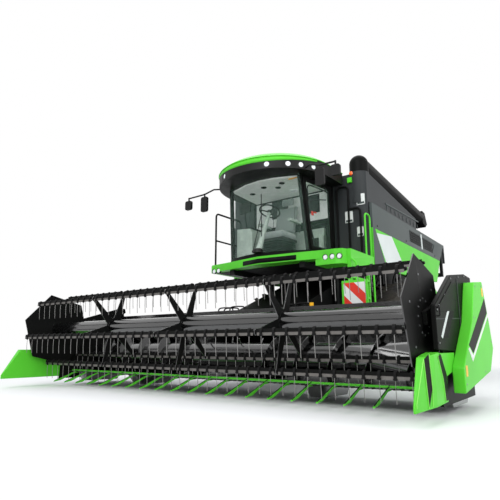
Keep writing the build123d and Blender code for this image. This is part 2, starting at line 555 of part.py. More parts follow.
# Side doors: a grey upper panel and a green lower one on each side, turning up together
DOOR_FRONT_Y = TANK_FRONT_Y + 50
DOOR_REAR_Y = DOOR_FRONT_Y + DOOR_LENGTH
DOOR_PANELS = [
    # name, outline as (distance from the door's front edge, z)
    ("lower", [(0, 1910), (3630, 2060), (DOOR_LENGTH - 400, DOOR_SPLIT_Z - SEAT_GAP),
               (0, DOOR_SPLIT_Z - SEAT_GAP)]),
    ("upper", [(0, DOOR_SPLIT_Z), (DOOR_LENGTH - 400, DOOR_SPLIT_Z), (DOOR_LENGTH, DOOR_TOP_Z),
               (0, DOOR_TOP_Z)]),
]
LOUVRE_GROUPS = (1900, 2760)
LOUVRES = 8
LOUVRE_PITCH = 90
LOUVRE_WIDE = 52
LOUVRE_LEAN = 190
LOUVRE_LOW_Z = 2700
LOUVRE_HIGH_Z = 2930
LOUVRE_DEPTH = 20
for side, name in zip(SIDES, ("right", "left")):
    for level, outline in DOOR_PANELS:
        with BuildPart() as side_door:
            slab([(DOOR_FRONT_Y + y, z) for y, z in outline], side * DOOR_INNER_X,
                 side * (DOOR_INNER_X + DOOR_THICK))
            if level == "upper":
                for start_y in LOUVRE_GROUPS:
                    for i in range(LOUVRES):
                        y = DOOR_FRONT_Y + start_y + i * LOUVRE_PITCH
                        slab([(y, LOUVRE_LOW_Z), (y + LOUVRE_WIDE, LOUVRE_LOW_Z),
                              (y + LOUVRE_WIDE + LOUVRE_LEAN, LOUVRE_HIGH_Z),
                              (y + LOUVRE_LEAN, LOUVRE_HIGH_Z)],
                             side * (DOOR_INNER_X + DOOR_THICK - LOUVRE_DEPTH),
                             side * (DOOR_INNER_X + DOOR_THICK), mode=Mode.SUBTRACT)
        finish(side_door.part, f"side_door_{name}_{level}")

# Cab: floor, six pillars, a rear wall and the ring that carries the roof
cab_top_y = CAB_FRONT_Y - CAB_TOP_LEAN
FLOOR_THICK = 60
floor_top = CAB_FLOOR_Z + FLOOR_THICK
# The door hangs on two hinge blocks at the rear left pillar
DOOR_CLEAR = 14
HINGE_R = 12
HINGE_TALL = 40
HINGE_HEIGHTS = (floor_top + 220, floor_top + 960)
hinge_y = CAB_REAR_Y - PILLAR - DOOR_CLEAR
with BuildPart() as cab_frame:
    with BuildSketch(Plane.XY.offset(CAB_FLOOR_Z)) as floor:
        with BuildLine():
            ThreePointArc((CAB_FRONT_HALF, CAB_FRONT_Y), (0, CAB_FRONT_Y - WINDSCREEN_BULGE),
                          (-CAB_FRONT_HALF, CAB_FRONT_Y))
            Polyline((-CAB_FRONT_HALF, CAB_FRONT_Y), (-CAB_HALF, CAB_REAR_Y), (CAB_HALF, CAB_REAR_Y),
                     (CAB_FRONT_HALF, CAB_FRONT_Y))
        make_face()
    extrude(floor.sketch, amount=FLOOR_THICK)
    for side in SIDES:
        with BuildSketch(Plane.XY.offset(floor_top)) as foot:
            with Locations((side * (CAB_FRONT_HALF - PILLAR / 2 - 5), CAB_FRONT_Y + PILLAR / 2)):
                Rectangle(PILLAR, PILLAR)
        with BuildSketch(Plane.XY.offset(CAB_ROOF_Z)) as head:
            with Locations((side * (CAB_TOP_HALF - PILLAR / 2), cab_top_y + PILLAR / 2)):
                Rectangle(PILLAR, PILLAR)
        loft([foot.sketch.face(), head.sketch.face()])
        block(side * (CAB_HALF - PILLAR), side * CAB_HALF, CAB_REAR_Y - PILLAR, CAB_REAR_Y,
              CAB_FLOOR_Z, CAB_ROOF_Z)
    block(-CAB_HALF, CAB_HALF, CAB_REAR_Y - PILLAR, CAB_REAR_Y, floor_top, floor_top + 700)
    block(-CAB_HALF, CAB_HALF, CAB_REAR_Y - PILLAR, CAB_REAR_Y, CAB_ROOF_Z - 60, CAB_ROOF_Z)
    for z in HINGE_HEIGHTS:
        block(CAB_HALF, CAB_HALF + HINGE_R, hinge_y + 2, CAB_REAR_Y - PILLAR / 2, z, z + HINGE_TALL)
finish(cab_frame.part, "cab_frame")


def cab_corner(z):
    """Gives the (x, y) of the cab's left front corner at a height, where the pillar leans forwards."""
    share = (z - floor_top) / (CAB_ROOF_Z - floor_top)
    return (CAB_FRONT_HALF + share * (CAB_TOP_HALF - CAB_FRONT_HALF), CAB_FRONT_Y - share * CAB_TOP_LEAN)


def cab_side(side, z, front, rear, outer, inner):
    """Gives the plan of a strip along the cab's side at a height.

    It starts and ends the given distances from the corners and lies between two depths."""
    corner_x, corner_y = cab_corner(z)
    length = hypot(CAB_HALF - corner_x, CAB_REAR_Y - corner_y)
    along = Vector(CAB_HALF - corner_x, CAB_REAR_Y - corner_y) / length
    outward = Vector(along.Y, -along.X)
    start = Vector(corner_x, corner_y) + along * front
    end = Vector(corner_x, corner_y) + along * (length - rear)
    strip = [start - outward * outer, end - outward * outer, end - outward * inner, start - outward * inner]
    return [(side * point.X, point.Y) for point in strip]


def cab_panel(side, z0, z1, front, rear, outer, inner, mode=Mode.ADD):
    """Adds a panel of the cab's side, leaning as its front pillar does."""
    strips = []
    for z in (z0, z1):
        with BuildSketch(Plane.XY.offset(z)) as strip:
            with BuildLine():
                Polyline(*cab_side(side, z, front, rear, outer, inner), close=True)
            make_face()
        strips.append(strip.sketch.face())
    loft(strips, ruled=True, mode=mode)


# Cab door: a framed pane between the left pillars, hinged on the rear one
DOOR_DEPTH = 42
DOOR_RAIL = 70
door_bottom = floor_top + DOOR_CLEAR
door_top = CAB_ROOF_Z - DOOR_CLEAR
with BuildPart() as cab_door:
    cab_panel(1, door_bottom, door_top, PILLAR + DOOR_CLEAR, PILLAR + DOOR_CLEAR, 0, DOOR_DEPTH)
    cab_panel(1, door_bottom + DOOR_RAIL, door_top - DOOR_RAIL, PILLAR + DOOR_CLEAR + DOOR_RAIL,
              PILLAR + DOOR_CLEAR + DOOR_RAIL, -1, DOOR_DEPTH + 1, mode=Mode.SUBTRACT)
    for z in HINGE_HEIGHTS:
        rod((CAB_HALF, hinge_y, z + HINGE_TALL + SEAT_GAP), (CAB_HALF, hinge_y, z + 2 * HINGE_TALL), HINGE_R)
finish(cab_door.part, "cab_door")
with BuildPart() as cab_door_glass:
    cab_panel(1, door_bottom + DOOR_RAIL, door_top - DOOR_RAIL, PILLAR + DOOR_CLEAR + DOOR_RAIL,
              PILLAR + DOOR_CLEAR + DOOR_RAIL, GLASS, 2 * GLASS)
finish(cab_door_glass.part, "cab_door_glass")

# Cab glass: the bowed windscreen, the right side pane and the rear window
TOP_BULGE = 190
PANE_GAP = 6
with BuildPart() as cab_glass:
    bands = []
    for z, half, y, bulge in ((floor_top, CAB_FRONT_HALF, CAB_FRONT_Y, WINDSCREEN_BULGE),
                              (CAB_ROOF_Z, CAB_TOP_HALF, cab_top_y, TOP_BULGE)):
        with BuildSketch(Plane.XY.offset(z)) as band:
            with BuildLine():
                outer_arc = ThreePointArc((half, y - GLASS - 1), (0, y - bulge), (-half, y - GLASS - 1))
                inner_arc = ThreePointArc((-half, y - 1), (0, y - bulge + GLASS), (half, y - 1))
                Line(outer_arc @ 1, inner_arc @ 0)
                Line(inner_arc @ 1, outer_arc @ 0)
            make_face()
        bands.append(band.sketch.face())
    loft(bands, ruled=True)
    cab_panel(-1, floor_top, CAB_ROOF_Z, PILLAR + PANE_GAP, PILLAR + PANE_GAP, GLASS, 2 * GLASS)
    block(-CAB_HALF + PILLAR, CAB_HALF - PILLAR, CAB_REAR_Y - PILLAR / 2, CAB_REAR_Y - PILLAR / 2 + GLASS,
          floor_top + 700, CAB_ROOF_Z - 60)
finish(cab_glass.part, "cab_glass")

# Roof: a dark visor plate with the lamps under its front, and the green cap on it
ROOF_R = 1060
ROOF_MIDDLE_Y = CAB_REAR_Y - 500
VISOR_SCALE = 0.98
VISOR_THICK = 200
roof_z = CAB_ROOF_Z + VISOR_THICK
CROWN = [
    # height above the visor, scale of the plan
    (0, 1.0),
    (110, 0.84),
    (175, 0.6),
]


def roof_plan(scale):
    """Gives the face of the roof's plan, round in front, drawn to a scale about its middle."""
    radius = ROOF_R * scale
    rear_y = ROOF_MIDDLE_Y + (CAB_REAR_Y - ROOF_MIDDLE_Y) * scale
    with BuildSketch(Plane.XY) as plan:
        with BuildLine():
            ThreePointArc((radius, ROOF_MIDDLE_Y), (0, ROOF_MIDDLE_Y - radius), (-radius, ROOF_MIDDLE_Y))
            Polyline((-radius, ROOF_MIDDLE_Y), (-radius, rear_y), (radius, rear_y), (radius, ROOF_MIDDLE_Y))
        make_face()
    return plan.sketch


def roof_place(turn, radius, z):
    """Gives the point at a radius from the roof's middle, turned from straight ahead to the left."""
    return (radius * sin(radians(turn)), ROOF_MIDDLE_Y - radius * cos(radians(turn)), z)


# Lamps: round work lamps sunk in the visor's rim and in the platform's front corners
LAMP_R = 50
LAMP_DEPTH = 60
LAMP_INSET = 3
LAMP_HOLE = 20
VISOR_LAMP_Z = CAB_ROOF_Z + 75
VISOR_LAMP_TURNS = (-49, -27, 24, 43, 55, 68, 79)
PLATFORM_LAMP_R = 45
PLATFORM_LAMP_Z = DECK_Z + 15
PLATFORM_LAMPS = [
    # x, y of the lamp's back
    (1140, CAB_FRONT_Y - 65),
    (1250, CAB_FRONT_Y - 55),
    (1360, CAB_FRONT_Y - 40),
    (-1130, CAB_FRONT_Y - 20),
    (-1010, CAB_FRONT_Y - 40),
]
lamp_front_r = ROOF_R * VISOR_SCALE - LAMP_INSET
visor_lamp_ends = [[roof_place(turn, radius, VISOR_LAMP_Z)
                    for radius in (lamp_front_r - LAMP_DEPTH, lamp_front_r, lamp_front_r + LAMP_HOLE)]
                   for turn in VISOR_LAMP_TURNS]
with BuildPart() as roof_visor:
    with BuildSketch(Plane.XY.offset(CAB_ROOF_Z)):
        add(roof_plan(VISOR_SCALE))
    extrude(amount=VISOR_THICK)
    for back, front, outside in visor_lamp_ends:
        rod(back, outside, LAMP_R + SEAT_GAP, mode=Mode.SUBTRACT)
finish(roof_visor.part, "roof_visor")

with BuildPart() as cab_roof:
    for rise, scale in CROWN:
        with BuildSketch(Plane.XY.offset(roof_z + rise)):
            add(roof_plan(scale))
    loft()
finish(cab_roof.part, "cab_roof")

BEACON_X = 60
BEACON_Y = CAB_REAR_Y - 1060
BEACON_FOOT = 32
BEACON_NECK = 10
BEACON_R = 42
crown_top = roof_z + CROWN[-1][0]
beacon_foot, beacon_neck, beacon_dome = [
    (BEACON_X, BEACON_Y, crown_top + rise) for rise in (SEAT_GAP, BEACON_FOOT, BEACON_FOOT + BEACON_NECK)]
with BuildPart() as lamps:
    for back, front, outside in visor_lamp_ends:
        rod(back, front, LAMP_R)
    for x, y in PLATFORM_LAMPS:
        rod((x, y, PLATFORM_LAMP_Z), (x, y - LAMP_DEPTH, PLATFORM_LAMP_Z), PLATFORM_LAMP_R)
    # The beacon is a dome on a low foot, and the rear lamps sit on the hood's rear wall
    rod(beacon_foot, beacon_neck, BEACON_R + 12)
    rod(beacon_neck, beacon_dome, BEACON_R)
    with Locations(beacon_dome):
        Sphere(BEACON_R)
    for side in SIDES:
        block(side * (HOOD_HALF - 160), side * (HOOD_HALF - 20), HOOD_REAR_Y + SEAT_GAP, HOOD_REAR_Y + 55,
              TANK_SIDE_Z - 180, TANK_SIDE_Z - 20)
finish(lamps.part, "lamps")

# Seat: suspension box, cushion, backrest, headrest and two armrests
SEAT_Y = CAB_REAR_Y - 460
with BuildPart() as seat:
    block(-210, 210, SEAT_Y - 220, SEAT_Y + 200, floor_top, floor_top + 330)
    block(-260, 260, SEAT_Y - 280, SEAT_Y + 230, floor_top + 330, floor_top + 450)
    slab([(SEAT_Y + 120, floor_top + 450), (SEAT_Y + 230, floor_top + 450), (SEAT_Y + 360, floor_top + 1010),
          (SEAT_Y + 250, floor_top + 1010)], -240, 240)
    slab([(SEAT_Y + 270, floor_top + 1010), (SEAT_Y + 350, floor_top + 1010),
          (SEAT_Y + 370, floor_top + 1190), (SEAT_Y + 280, floor_top + 1190)], -140, 140)
    for side in SIDES:
        block(side * 280, side * 350, SEAT_Y - 180, SEAT_Y + 150, floor_top + 600, floor_top + 650)
        block(side * 240, side * 290, SEAT_Y + 120, SEAT_Y + 180, floor_top + 400, floor_top + 650)
finish(seat.part, "seat")

# Steering column: a leaning post on the cab's floor with the wheel on top
COLUMN_Y = CAB_FRONT_Y - 60
WHEEL_R = 190
with BuildPart() as steering_column:
    column_top = Plane(origin=(0, COLUMN_Y + 130, floor_top + 790), x_dir=(1, 0, 0), z_dir=(0, 0.45, 1))
    slab([(COLUMN_Y - 60, floor_top), (COLUMN_Y + 60, floor_top), (COLUMN_Y + 140, floor_top + 640),
          (COLUMN_Y + 60, floor_top + 680)], -60, 60)
    rod((0, COLUMN_Y + 100, floor_top + 640), tuple(column_top.origin), 22)
    with BuildSketch(Plane(origin=column_top.origin, x_dir=(1, 0, 0), z_dir=(0, -1, 0.45))) as grip:
        with Locations((WHEEL_R, 0)):
            Circle(15)
    revolve(grip.sketch, axis=Axis(column_top.origin, column_top.z_dir))
    for angle in (0, 120, 240):
        spoke = (WHEEL_R * sin(radians(angle)), -WHEEL_R * cos(radians(angle)), 0)
        rod(tuple(column_top.origin), tuple(column_top.from_local_coords(spoke)), 12)
finish(steering_column.part, "steering_column")

# Platform: the deck round the cab with the lamp housings at its front corners
PLATFORM_RIGHT_X = -1250
PLATFORM_LEFT_X = 1440
PLATFORM_EDGE = [
    # x, y of the front edge from right to left
    (PLATFORM_RIGHT_X, CAB_FRONT_Y - 10),
    (PLATFORM_RIGHT_X + 80, CAB_FRONT_Y - 80),
    (-700, CAB_FRONT_Y - 150),
    (0, CAB_FRONT_Y - 290),
    (760, CAB_FRONT_Y - 190),
    (1080, CAB_FRONT_Y - 130),
    (1300, CAB_FRONT_Y - 120),
    (1410, CAB_FRONT_Y - 80),
    (PLATFORM_LEFT_X, CAB_FRONT_Y),
]
CORNER_EDGE = PLATFORM_EDGE[-4:]
CORNER_DROP = 100
CORNER_DEEP = 210
with BuildPart() as platform:
    deck([*PLATFORM_EDGE, (PLATFORM_LEFT_X, TANK_FRONT_Y), (PLATFORM_RIGHT_X, TANK_FRONT_Y)],
         DECK_Z, CAB_FLOOR_Z)
    # The left front corner hangs lower, round its lamps
    deck([(CORNER_EDGE[0][0] - CORNER_DROP, CORNER_EDGE[0][1] - 5), *CORNER_EDGE,
          (PLATFORM_LEFT_X, CAB_FRONT_Y + CORNER_DEEP),
          (CORNER_EDGE[0][0] - CORNER_DROP, CAB_FRONT_Y + CORNER_DEEP)], DECK_Z - CORNER_DROP, DECK_Z)
    for x, y in PLATFORM_LAMPS:
        rod((x, y, PLATFORM_LAMP_Z), (x, y - 2 * LAMP_DEPTH, PLATFORM_LAMP_Z), PLATFORM_LAMP_R + SEAT_GAP,
            mode=Mode.SUBTRACT)
finish(platform.part, "platform")

# Railings on the platform: a looped rail right of the cab, and a tall and a low one left of it
RAIL_R = 17
BEND = 70
LEFT_RAIL_Y = CAB_REAR_Y + 50
RAILINGS = [
    # corner points of each pipe
    [(-1180, CAB_FRONT_Y + 20, CAB_FLOOR_Z), (-1180, CAB_FRONT_Y + 20, 3080),
     (-1180, CAB_REAR_Y - 60, 3080), (-1180, CAB_REAR_Y - 60, CAB_FLOOR_Z)],
    [(1100, LEFT_RAIL_Y, CAB_FLOOR_Z), (1100, LEFT_RAIL_Y, 3380), (890, LEFT_RAIL_Y, 3380),
     (890, LEFT_RAIL_Y, CAB_FLOOR_Z)],
    [(1100, LEFT_RAIL_Y, 2960), (1310, LEFT_RAIL_Y, 2960), (1310, LEFT_RAIL_Y, CAB_FLOOR_Z)],
]
with BuildPart() as railings:
    for points in RAILINGS:
        pipe(points, RAIL_R, BEND)
    rod((-1180, CAB_FRONT_Y + 20, 2560), (-1180, CAB_REAR_Y - 60, 2560), RAIL_R - 2)
finish(railings.part, "railings")

# Mirrors on long arms from the visor's rim: a tall head and a short one beyond it on each
MIRROR_TURN = 60
MIRROR_ARM_R = 14
MIRROR_THICK = 45
MIRROR_HEADS = [
    # x and y of its stem, z of the arm there, width and height
    (1190, CAB_FRONT_Y - 300, CAB_ROOF_Z - 25, 150, 280),
    (1500, CAB_FRONT_Y - 390, CAB_ROOF_Z - 70, 150, 170),
]
with BuildPart() as mirrors:
    for side in SIDES:
        root, shoulder = [roof_place(side * MIRROR_TURN, ROOF_R * VISOR_SCALE + out, CAB_ROOF_Z + 40)
                          for out in (SEAT_GAP, 120)]
        ends = [(side * x, y, z) for x, y, z, wide, tall in MIRROR_HEADS]
        pipe([root, shoulder, *ends], MIRROR_ARM_R, 30)
        for x, y, z, wide, tall in MIRROR_HEADS:
            rod((side * x, y, z + MIRROR_ARM_R), (side * x, y, z - 90), MIRROR_ARM_R)
            with BuildSketch(Plane.XZ.offset(-y - MIRROR_THICK / 2)) as head:
                with Locations((side * x, z - 50 - tall / 2)):
                    RectangleRounded(wide, tall, 35)
            extrude(head.sketch, amount=MIRROR_THICK)
finish(mirrors.part, "mirrors")

# Ladder: two stiles with steps, hung from the platform's left edge, with its landing frame,
# two grips and the tall hand loop above them
LADDER_X = PLATFORM_LEFT_X
LADDER_FRONT_Y = CAB_FRONT_Y + 5
LADDER_REAR_Y = CAB_FRONT_Y + 700
LADDER_FOOT_Z = 520
STEP_PITCH = 270
GRIP_R = 14
LOOP_Z = 2790
LOOP_WIDE = 200
BOARD_X = (LADDER_X - 85, LADDER_X + 285)
BOARD_Z = (1190, 1580)
BOARD_RIM = 18
with BuildPart() as ladder:
    for y in (LADDER_FRONT_Y, LADDER_REAR_Y - 40):
        block(LADDER_X, LADDER_X + 60, y, y + 40, LADDER_FOOT_Z, CAB_FLOOR_Z)
    for step in range(5):
        z = LADDER_FOOT_Z + 40 + step * STEP_PITCH
        block(LADDER_X - 60, LADDER_X + 60, LADDER_FRONT_Y, LADDER_REAR_Y, z, z + 30)
    block(LADDER_X, LADDER_X + 60, LADDER_FRONT_Y, TANK_FRONT_Y, DECK_Z - 130, CAB_FLOOR_Z)
    for y in (LADDER_FRONT_Y + 20, LADDER_REAR_Y - 20):
        pipe([(LADDER_X + 30, y, 760), (LADDER_X + 130, y, 860),
              (LADDER_X + 130, y, 1860), (LADDER_X + 30, y, 1960)], GRIP_R, BEND)
    loop_y = TANK_FRONT_Y - 2 * GRIP_R
    pipe([(LADDER_X + 30, loop_y, CAB_FLOOR_Z), (LADDER_X + 30, loop_y, LOOP_Z),
          (LADDER_X + 30, loop_y - LOOP_WIDE, LOOP_Z), (LADDER_X + 30, loop_y - LOOP_WIDE, CAB_FLOOR_Z)],
         GRIP_R, BEND)
    # A square warning board in a frame stands out from the ladder's front stile
    block(BOARD_X[0] - BOARD_RIM, BOARD_X[1] + BOARD_RIM, LADDER_FRONT_Y - 8, LADDER_FRONT_Y + 8,
          BOARD_Z[0] - BOARD_RIM, BOARD_Z[1] + BOARD_RIM)
    block(*BOARD_X, LADDER_FRONT_Y - 14, LADDER_FRONT_Y - 8, *BOARD_Z)
finish(ladder.part, "ladder")

# Feeder house: a slanted duct from the header's window to the threshing body, hung on its upper shaft
FEEDER_HALF = 620
FEEDER_R = 330
FEEDER_WALL = 30
BACK_BEAM = 120
MOUTH_Y = CUTTER_Y + AUGER_REACH + AUGER_R + TROUGH_GAP + SHEET + BACK_BEAM
MOUTH_TOP = 1080
MOUTH_BOTTOM = 340
LIFT_EYE = (1750, 520)
with BuildPart() as feeder_house:
    with BuildSketch(Plane.YZ.offset(-FEEDER_HALF)) as side_view:
        with BuildLine():
            Polyline((FEEDER_PIVOT_Y, FEEDER_PIVOT_Z + FEEDER_R), (MOUTH_Y, MOUTH_TOP),
                     (MOUTH_Y, MOUTH_BOTTOM), (FEEDER_PIVOT_Y, FEEDER_PIVOT_Z - FEEDER_R))
            ThreePointArc((FEEDER_PIVOT_Y, FEEDER_PIVOT_Z - FEEDER_R),
                          (FEEDER_PIVOT_Y + FEEDER_R, FEEDER_PIVOT_Z),
                          (FEEDER_PIVOT_Y, FEEDER_PIVOT_Z + FEEDER_R))
        make_face()
    extrude(side_view.sketch, amount=2 * FEEDER_HALF)
    slab([(FEEDER_PIVOT_Y, FEEDER_PIVOT_Z + FEEDER_R - FEEDER_WALL),
          (MOUTH_Y - 1, MOUTH_TOP - FEEDER_WALL), (MOUTH_Y - 1, MOUTH_BOTTOM + FEEDER_WALL),
          (FEEDER_PIVOT_Y, FEEDER_PIVOT_Z - FEEDER_R + FEEDER_WALL)],
         -FEEDER_HALF + FEEDER_WALL, FEEDER_HALF - FEEDER_WALL, mode=Mode.SUBTRACT)
    for side in SIDES:
        rod((side * (FEEDER_HALF - FEEDER_WALL), FEEDER_PIVOT_Y, FEEDER_PIVOT_Z),
            (side * (SEPARATOR_HALF + RAIL[0] + 60), FEEDER_PIVOT_Y, FEEDER_PIVOT_Z), SHAFT_R)
        # Ears under the duct hold the lift rods' pins
        for ear_x in (LIFT_X - LIFT_GAP - EAR, LIFT_X + LIFT_GAP):
            slab([(CUTTER_Y + LIFT_EYE[0] - 90, 620), (CUTTER_Y + LIFT_EYE[0] - 40, LIFT_EYE[1] - 35),
                  (CUTTER_Y + LIFT_EYE[0] + 40, LIFT_EYE[1] - 35), (CUTTER_Y + LIFT_EYE[0] + 120, 720)],
                 side * ear_x, side * (ear_x + EAR))
        rod((side * (LIFT_X - LIFT_GAP - EAR), CUTTER_Y + LIFT_EYE[0], LIFT_EYE[1]),
            (side * (LIFT_X + LIFT_GAP + EAR), CUTTER_Y + LIFT_EYE[0], LIFT_EYE[1]), LIFT_PIN_R)
finish(feeder_house.part, "feeder_house")

# Header trough: the sheet under the auger, the back wall with the feeder's window and two skids
AUGER_Y = CUTTER_Y + AUGER_REACH
TROUGH_R = AUGER_R + TROUGH_GAP
LEDGE_Z = 235
BAR_BACK = 48
LEDGE_FRONT_Y = CUTTER_Y + BAR_BACK
WALL_Y = AUGER_Y + TROUGH_R
WINDOW_HALF = FEEDER_HALF - FEEDER_WALL
ledge_end_y = AUGER_Y - sqrt(TROUGH_R**2 - (AUGER_Z - LEDGE_Z) ** 2)
outer_end_y = AUGER_Y - sqrt((TROUGH_R + SHEET) ** 2 - (AUGER_Z - LEDGE_Z + SHEET) ** 2)
SIDE_OUTLINE = [
    # distance behind the cutter bar, z
    (-250, 110), (-250, 420), (150, 1120), (500, 1220), (1040, 1220), (1040, 110),
]
SKIDS = [
    # inner and outer edge of each skid on one half
    (1500, 1700),
    (2900, HEADER_HALF - SEAT_GAP),
]
POST_PLACES = (1300, 2100, 2900)
REEL_PIN_R = 16
REEL_FOOT = (850, 930)
REEL_EYE = (300, 1080)
REEL_CYL_X = HEADER_HALF - 75
TROUGH_LENGTHS = [
    # start and end of each length of sheet, which meet at the window's edges
    (-HEADER_HALF + SEAT_GAP, -WINDOW_HALF - SEAT_GAP),
    (-WINDOW_HALF, WINDOW_HALF),
    (WINDOW_HALF + SEAT_GAP, HEADER_HALF - SEAT_GAP),
]
trough_pieces = []
for start_x, end_x in TROUGH_LENGTHS:
    with BuildPart() as trough_length:
        with BuildSketch(Plane.YZ.offset(start_x)) as trough:
            with BuildLine():
                Line((LEDGE_FRONT_Y, LEDGE_Z), (ledge_end_y, LEDGE_Z))
                ThreePointArc((ledge_end_y, LEDGE_Z), (AUGER_Y, AUGER_Z - TROUGH_R), (WALL_Y, AUGER_Z))
                Polyline((WALL_Y, AUGER_Z), (WALL_Y, BACK_WALL_Z), (WALL_Y + SHEET, BACK_WALL_Z),
                         (WALL_Y + SHEET, AUGER_Z))
                ThreePointArc((WALL_Y + SHEET, AUGER_Z), (AUGER_Y, AUGER_Z - TROUGH_R - SHEET),
                              (outer_end_y, LEDGE_Z - SHEET))
                Polyline((outer_end_y, LEDGE_Z - SHEET), (LEDGE_FRONT_Y, LEDGE_Z - SHEET),
                         (LEDGE_FRONT_Y, LEDGE_Z))
            make_face()
        extrude(trough.sketch, amount=end_x - start_x)
        if end_x == WINDOW_HALF:
            block(start_x, end_x, WALL_Y - TROUGH_R, WALL_Y + SHEET + 1, MOUTH_BOTTOM + FEEDER_WALL,
                  MOUTH_TOP - FEEDER_WALL, mode=Mode.SUBTRACT)
        for side in SIDES:
            for low_x, high_x in SKIDS:
                if start_x < side * low_x < end_x:
                    slab([(CUTTER_Y + 60, LEDGE_Z - SHEET), (CUTTER_Y + 200, 60), (CUTTER_Y + 780, 55),
                          (AUGER_Y + TROUGH_R, 200), (AUGER_Y, AUGER_Z - TROUGH_R - 1),
                          (CUTTER_Y + 300, LEDGE_Z - SHEET + 1)],
                         side * low_x, side * high_x)
    trough_pieces.extend(trough_length.part.solids())
finish(Compound(children=trough_pieces), "header_trough")

# Header frame: the rear beams, the side plates with the lugs for the reel's arms, and the pins
# that go through the plates for the arms and their cylinders
ARM_PIN_R = 30
ARM_PIN_REACH = 60
HEADER_PINS = [
    # distance behind the cutter bar, z, radius, x of the inner end
    (*REEL_FOOT, REEL_PIN_R, REEL_CYL_X - 22),
    (ARM_PIVOT_BACK, ARM_PIVOT_Z, ARM_PIN_R, HEADER_HALF - ARM_PIN_REACH),
]
with BuildPart() as rear_beams:
    beam_y = WALL_Y + SHEET + SEAT_GAP
    beam_back = WALL_Y + SHEET + BACK_BEAM
    beam_end = HEADER_HALF - SEAT_GAP
    for low in (200, BACK_WALL_Z - BACK_BEAM):
        block(-beam_end, beam_end, beam_y, beam_back, low, low + BACK_BEAM)
    for x in (-WINDOW_HALF - 80, WINDOW_HALF):
        block(x, x + 80, beam_y, beam_back, 200, BACK_WALL_Z)
    for side in SIDES:
        for x in POST_PLACES:
            block(side * x, side * (x + 50), beam_y, beam_back - 30, 200, BACK_WALL_Z)
frame_pieces = rear_beams.part.solids()
for side in SIDES:
    plate_out = side * (HEADER_HALF + SIDE_PLATE)
    with BuildPart() as side_plate:
        slab([(CUTTER_Y + y, z) for y, z in SIDE_OUTLINE], side * HEADER_HALF, plate_out)
        slab([(CUTTER_Y + ARM_PIVOT_BACK - 50, 1219), (CUTTER_Y + ARM_PIVOT_BACK - 40, ARM_PIVOT_Z + 40),
              (CUTTER_Y + ARM_PIVOT_BACK + 40, ARM_PIVOT_Z + 40), (CUTTER_Y + ARM_PIVOT_BACK + 50, 1219)],
             side * HEADER_HALF, plate_out)
        for back, z, radius, inner_x in HEADER_PINS:
            rod((side * (HEADER_HALF - 1), CUTTER_Y + back, z), (plate_out + side, CUTTER_Y + back, z),
                radius + SEAT_GAP, mode=Mode.SUBTRACT)
    frame_pieces.extend(side_plate.part.solids())
    for back, z, radius, inner_x in HEADER_PINS:
        with BuildPart() as pin:
            rod((plate_out, CUTTER_Y + back, z), (side * inner_x, CUTTER_Y + back, z), radius)
        frame_pieces.extend(pin.part.solids())
finish(Compound(children=[*frame_pieces]), "header_frame")

# Cutter bar: the green bar, the row of pointed fingers and the crop lifters on every fourth finger
BAR_THICK = 22
FINGER_W = 24
FINGER_TIP = 110
FINGER_THICK = 16
LIFTER_REACH = 455
LIFTER_W = 22
first_finger = -(FINGERS - 1) / 2 * FINGER_PITCH
with BuildPart() as cutter_bar:
    block(-HEADER_HALF + 5, HEADER_HALF - 5, CUTTER_Y - 22, CUTTER_Y + BAR_BACK,
          CUTTER_Z - BAR_THICK, CUTTER_Z)
    with BuildSketch(Plane.XY.offset(CUTTER_Z - BAR_THICK - FINGER_THICK)) as comb:
        with Locations((0, CUTTER_Y + 10)):
            Rectangle(2 * HEADER_HALF - 10, 60)
        with Locations(*[(first_finger + i * FINGER_PITCH, CUTTER_Y - 20) for i in range(FINGERS)]):
            Trapezoid(FINGER_W, FINGER_TIP - 20, 84, align=(Align.CENTER, Align.MIN), rotation=HALF_TURN)
    extrude(comb.sketch, amount=FINGER_THICK)
    for i in range(LIFTERS):
        x = first_finger + (2 + LIFTER_EVERY * i) * FINGER_PITCH
        slab([(CUTTER_Y - LIFTER_REACH, 74), (CUTTER_Y - LIFTER_REACH + 12, 92),
              (CUTTER_Y + 10, CUTTER_Z + 6), (CUTTER_Y + 10, CUTTER_Z - BAR_THICK - FINGER_THICK - 10),
              (CUTTER_Y - 90, 196), (CUTTER_Y - 330, 92)], x - LIFTER_W / 2, x + LIFTER_W / 2)
finish(cutter_bar.part, "cutter_bar")

# Crop dividers: the long nose on the right end and the folded two-piece one on the left
RIGHT_NOSE = [
    # distance behind the cutter bar, z
    (-1210, 150), (-1210, 205), (-950, 590), (-700, 590), (-250, 420), (-250, 150),
]
LEFT_NOSE = [(-1000, 130), (-1000, 180), (-780, 560), (-450, 600), (-380, 420), (-250, 380), (-250, 160)]
NOSE_OUT = 3300
GUARD_X = HEADER_HALF + SIDE_PLATE
GUARD_THICK = 45
NOSE_LEFT = (3072, GUARD_X + GUARD_THICK)
with BuildPart() as crop_dividers:
    slab([(CUTTER_Y + y, z) for y, z in RIGHT_NOSE], -NOSE_OUT, -HEADER_HALF - 5)
    deck([(-HEADER_HALF - 55, CUTTER_Y - 1211), (-HEADER_HALF - 25, CUTTER_Y - 1211),
          (-HEADER_HALF - 5, CUTTER_Y - 700), (-HEADER_HALF - 5, CUTTER_Y - 249),
          (-NOSE_OUT, CUTTER_Y - 249), (-NOSE_OUT, CUTTER_Y - 500)], 0, 700, mode=Mode.INTERSECT)
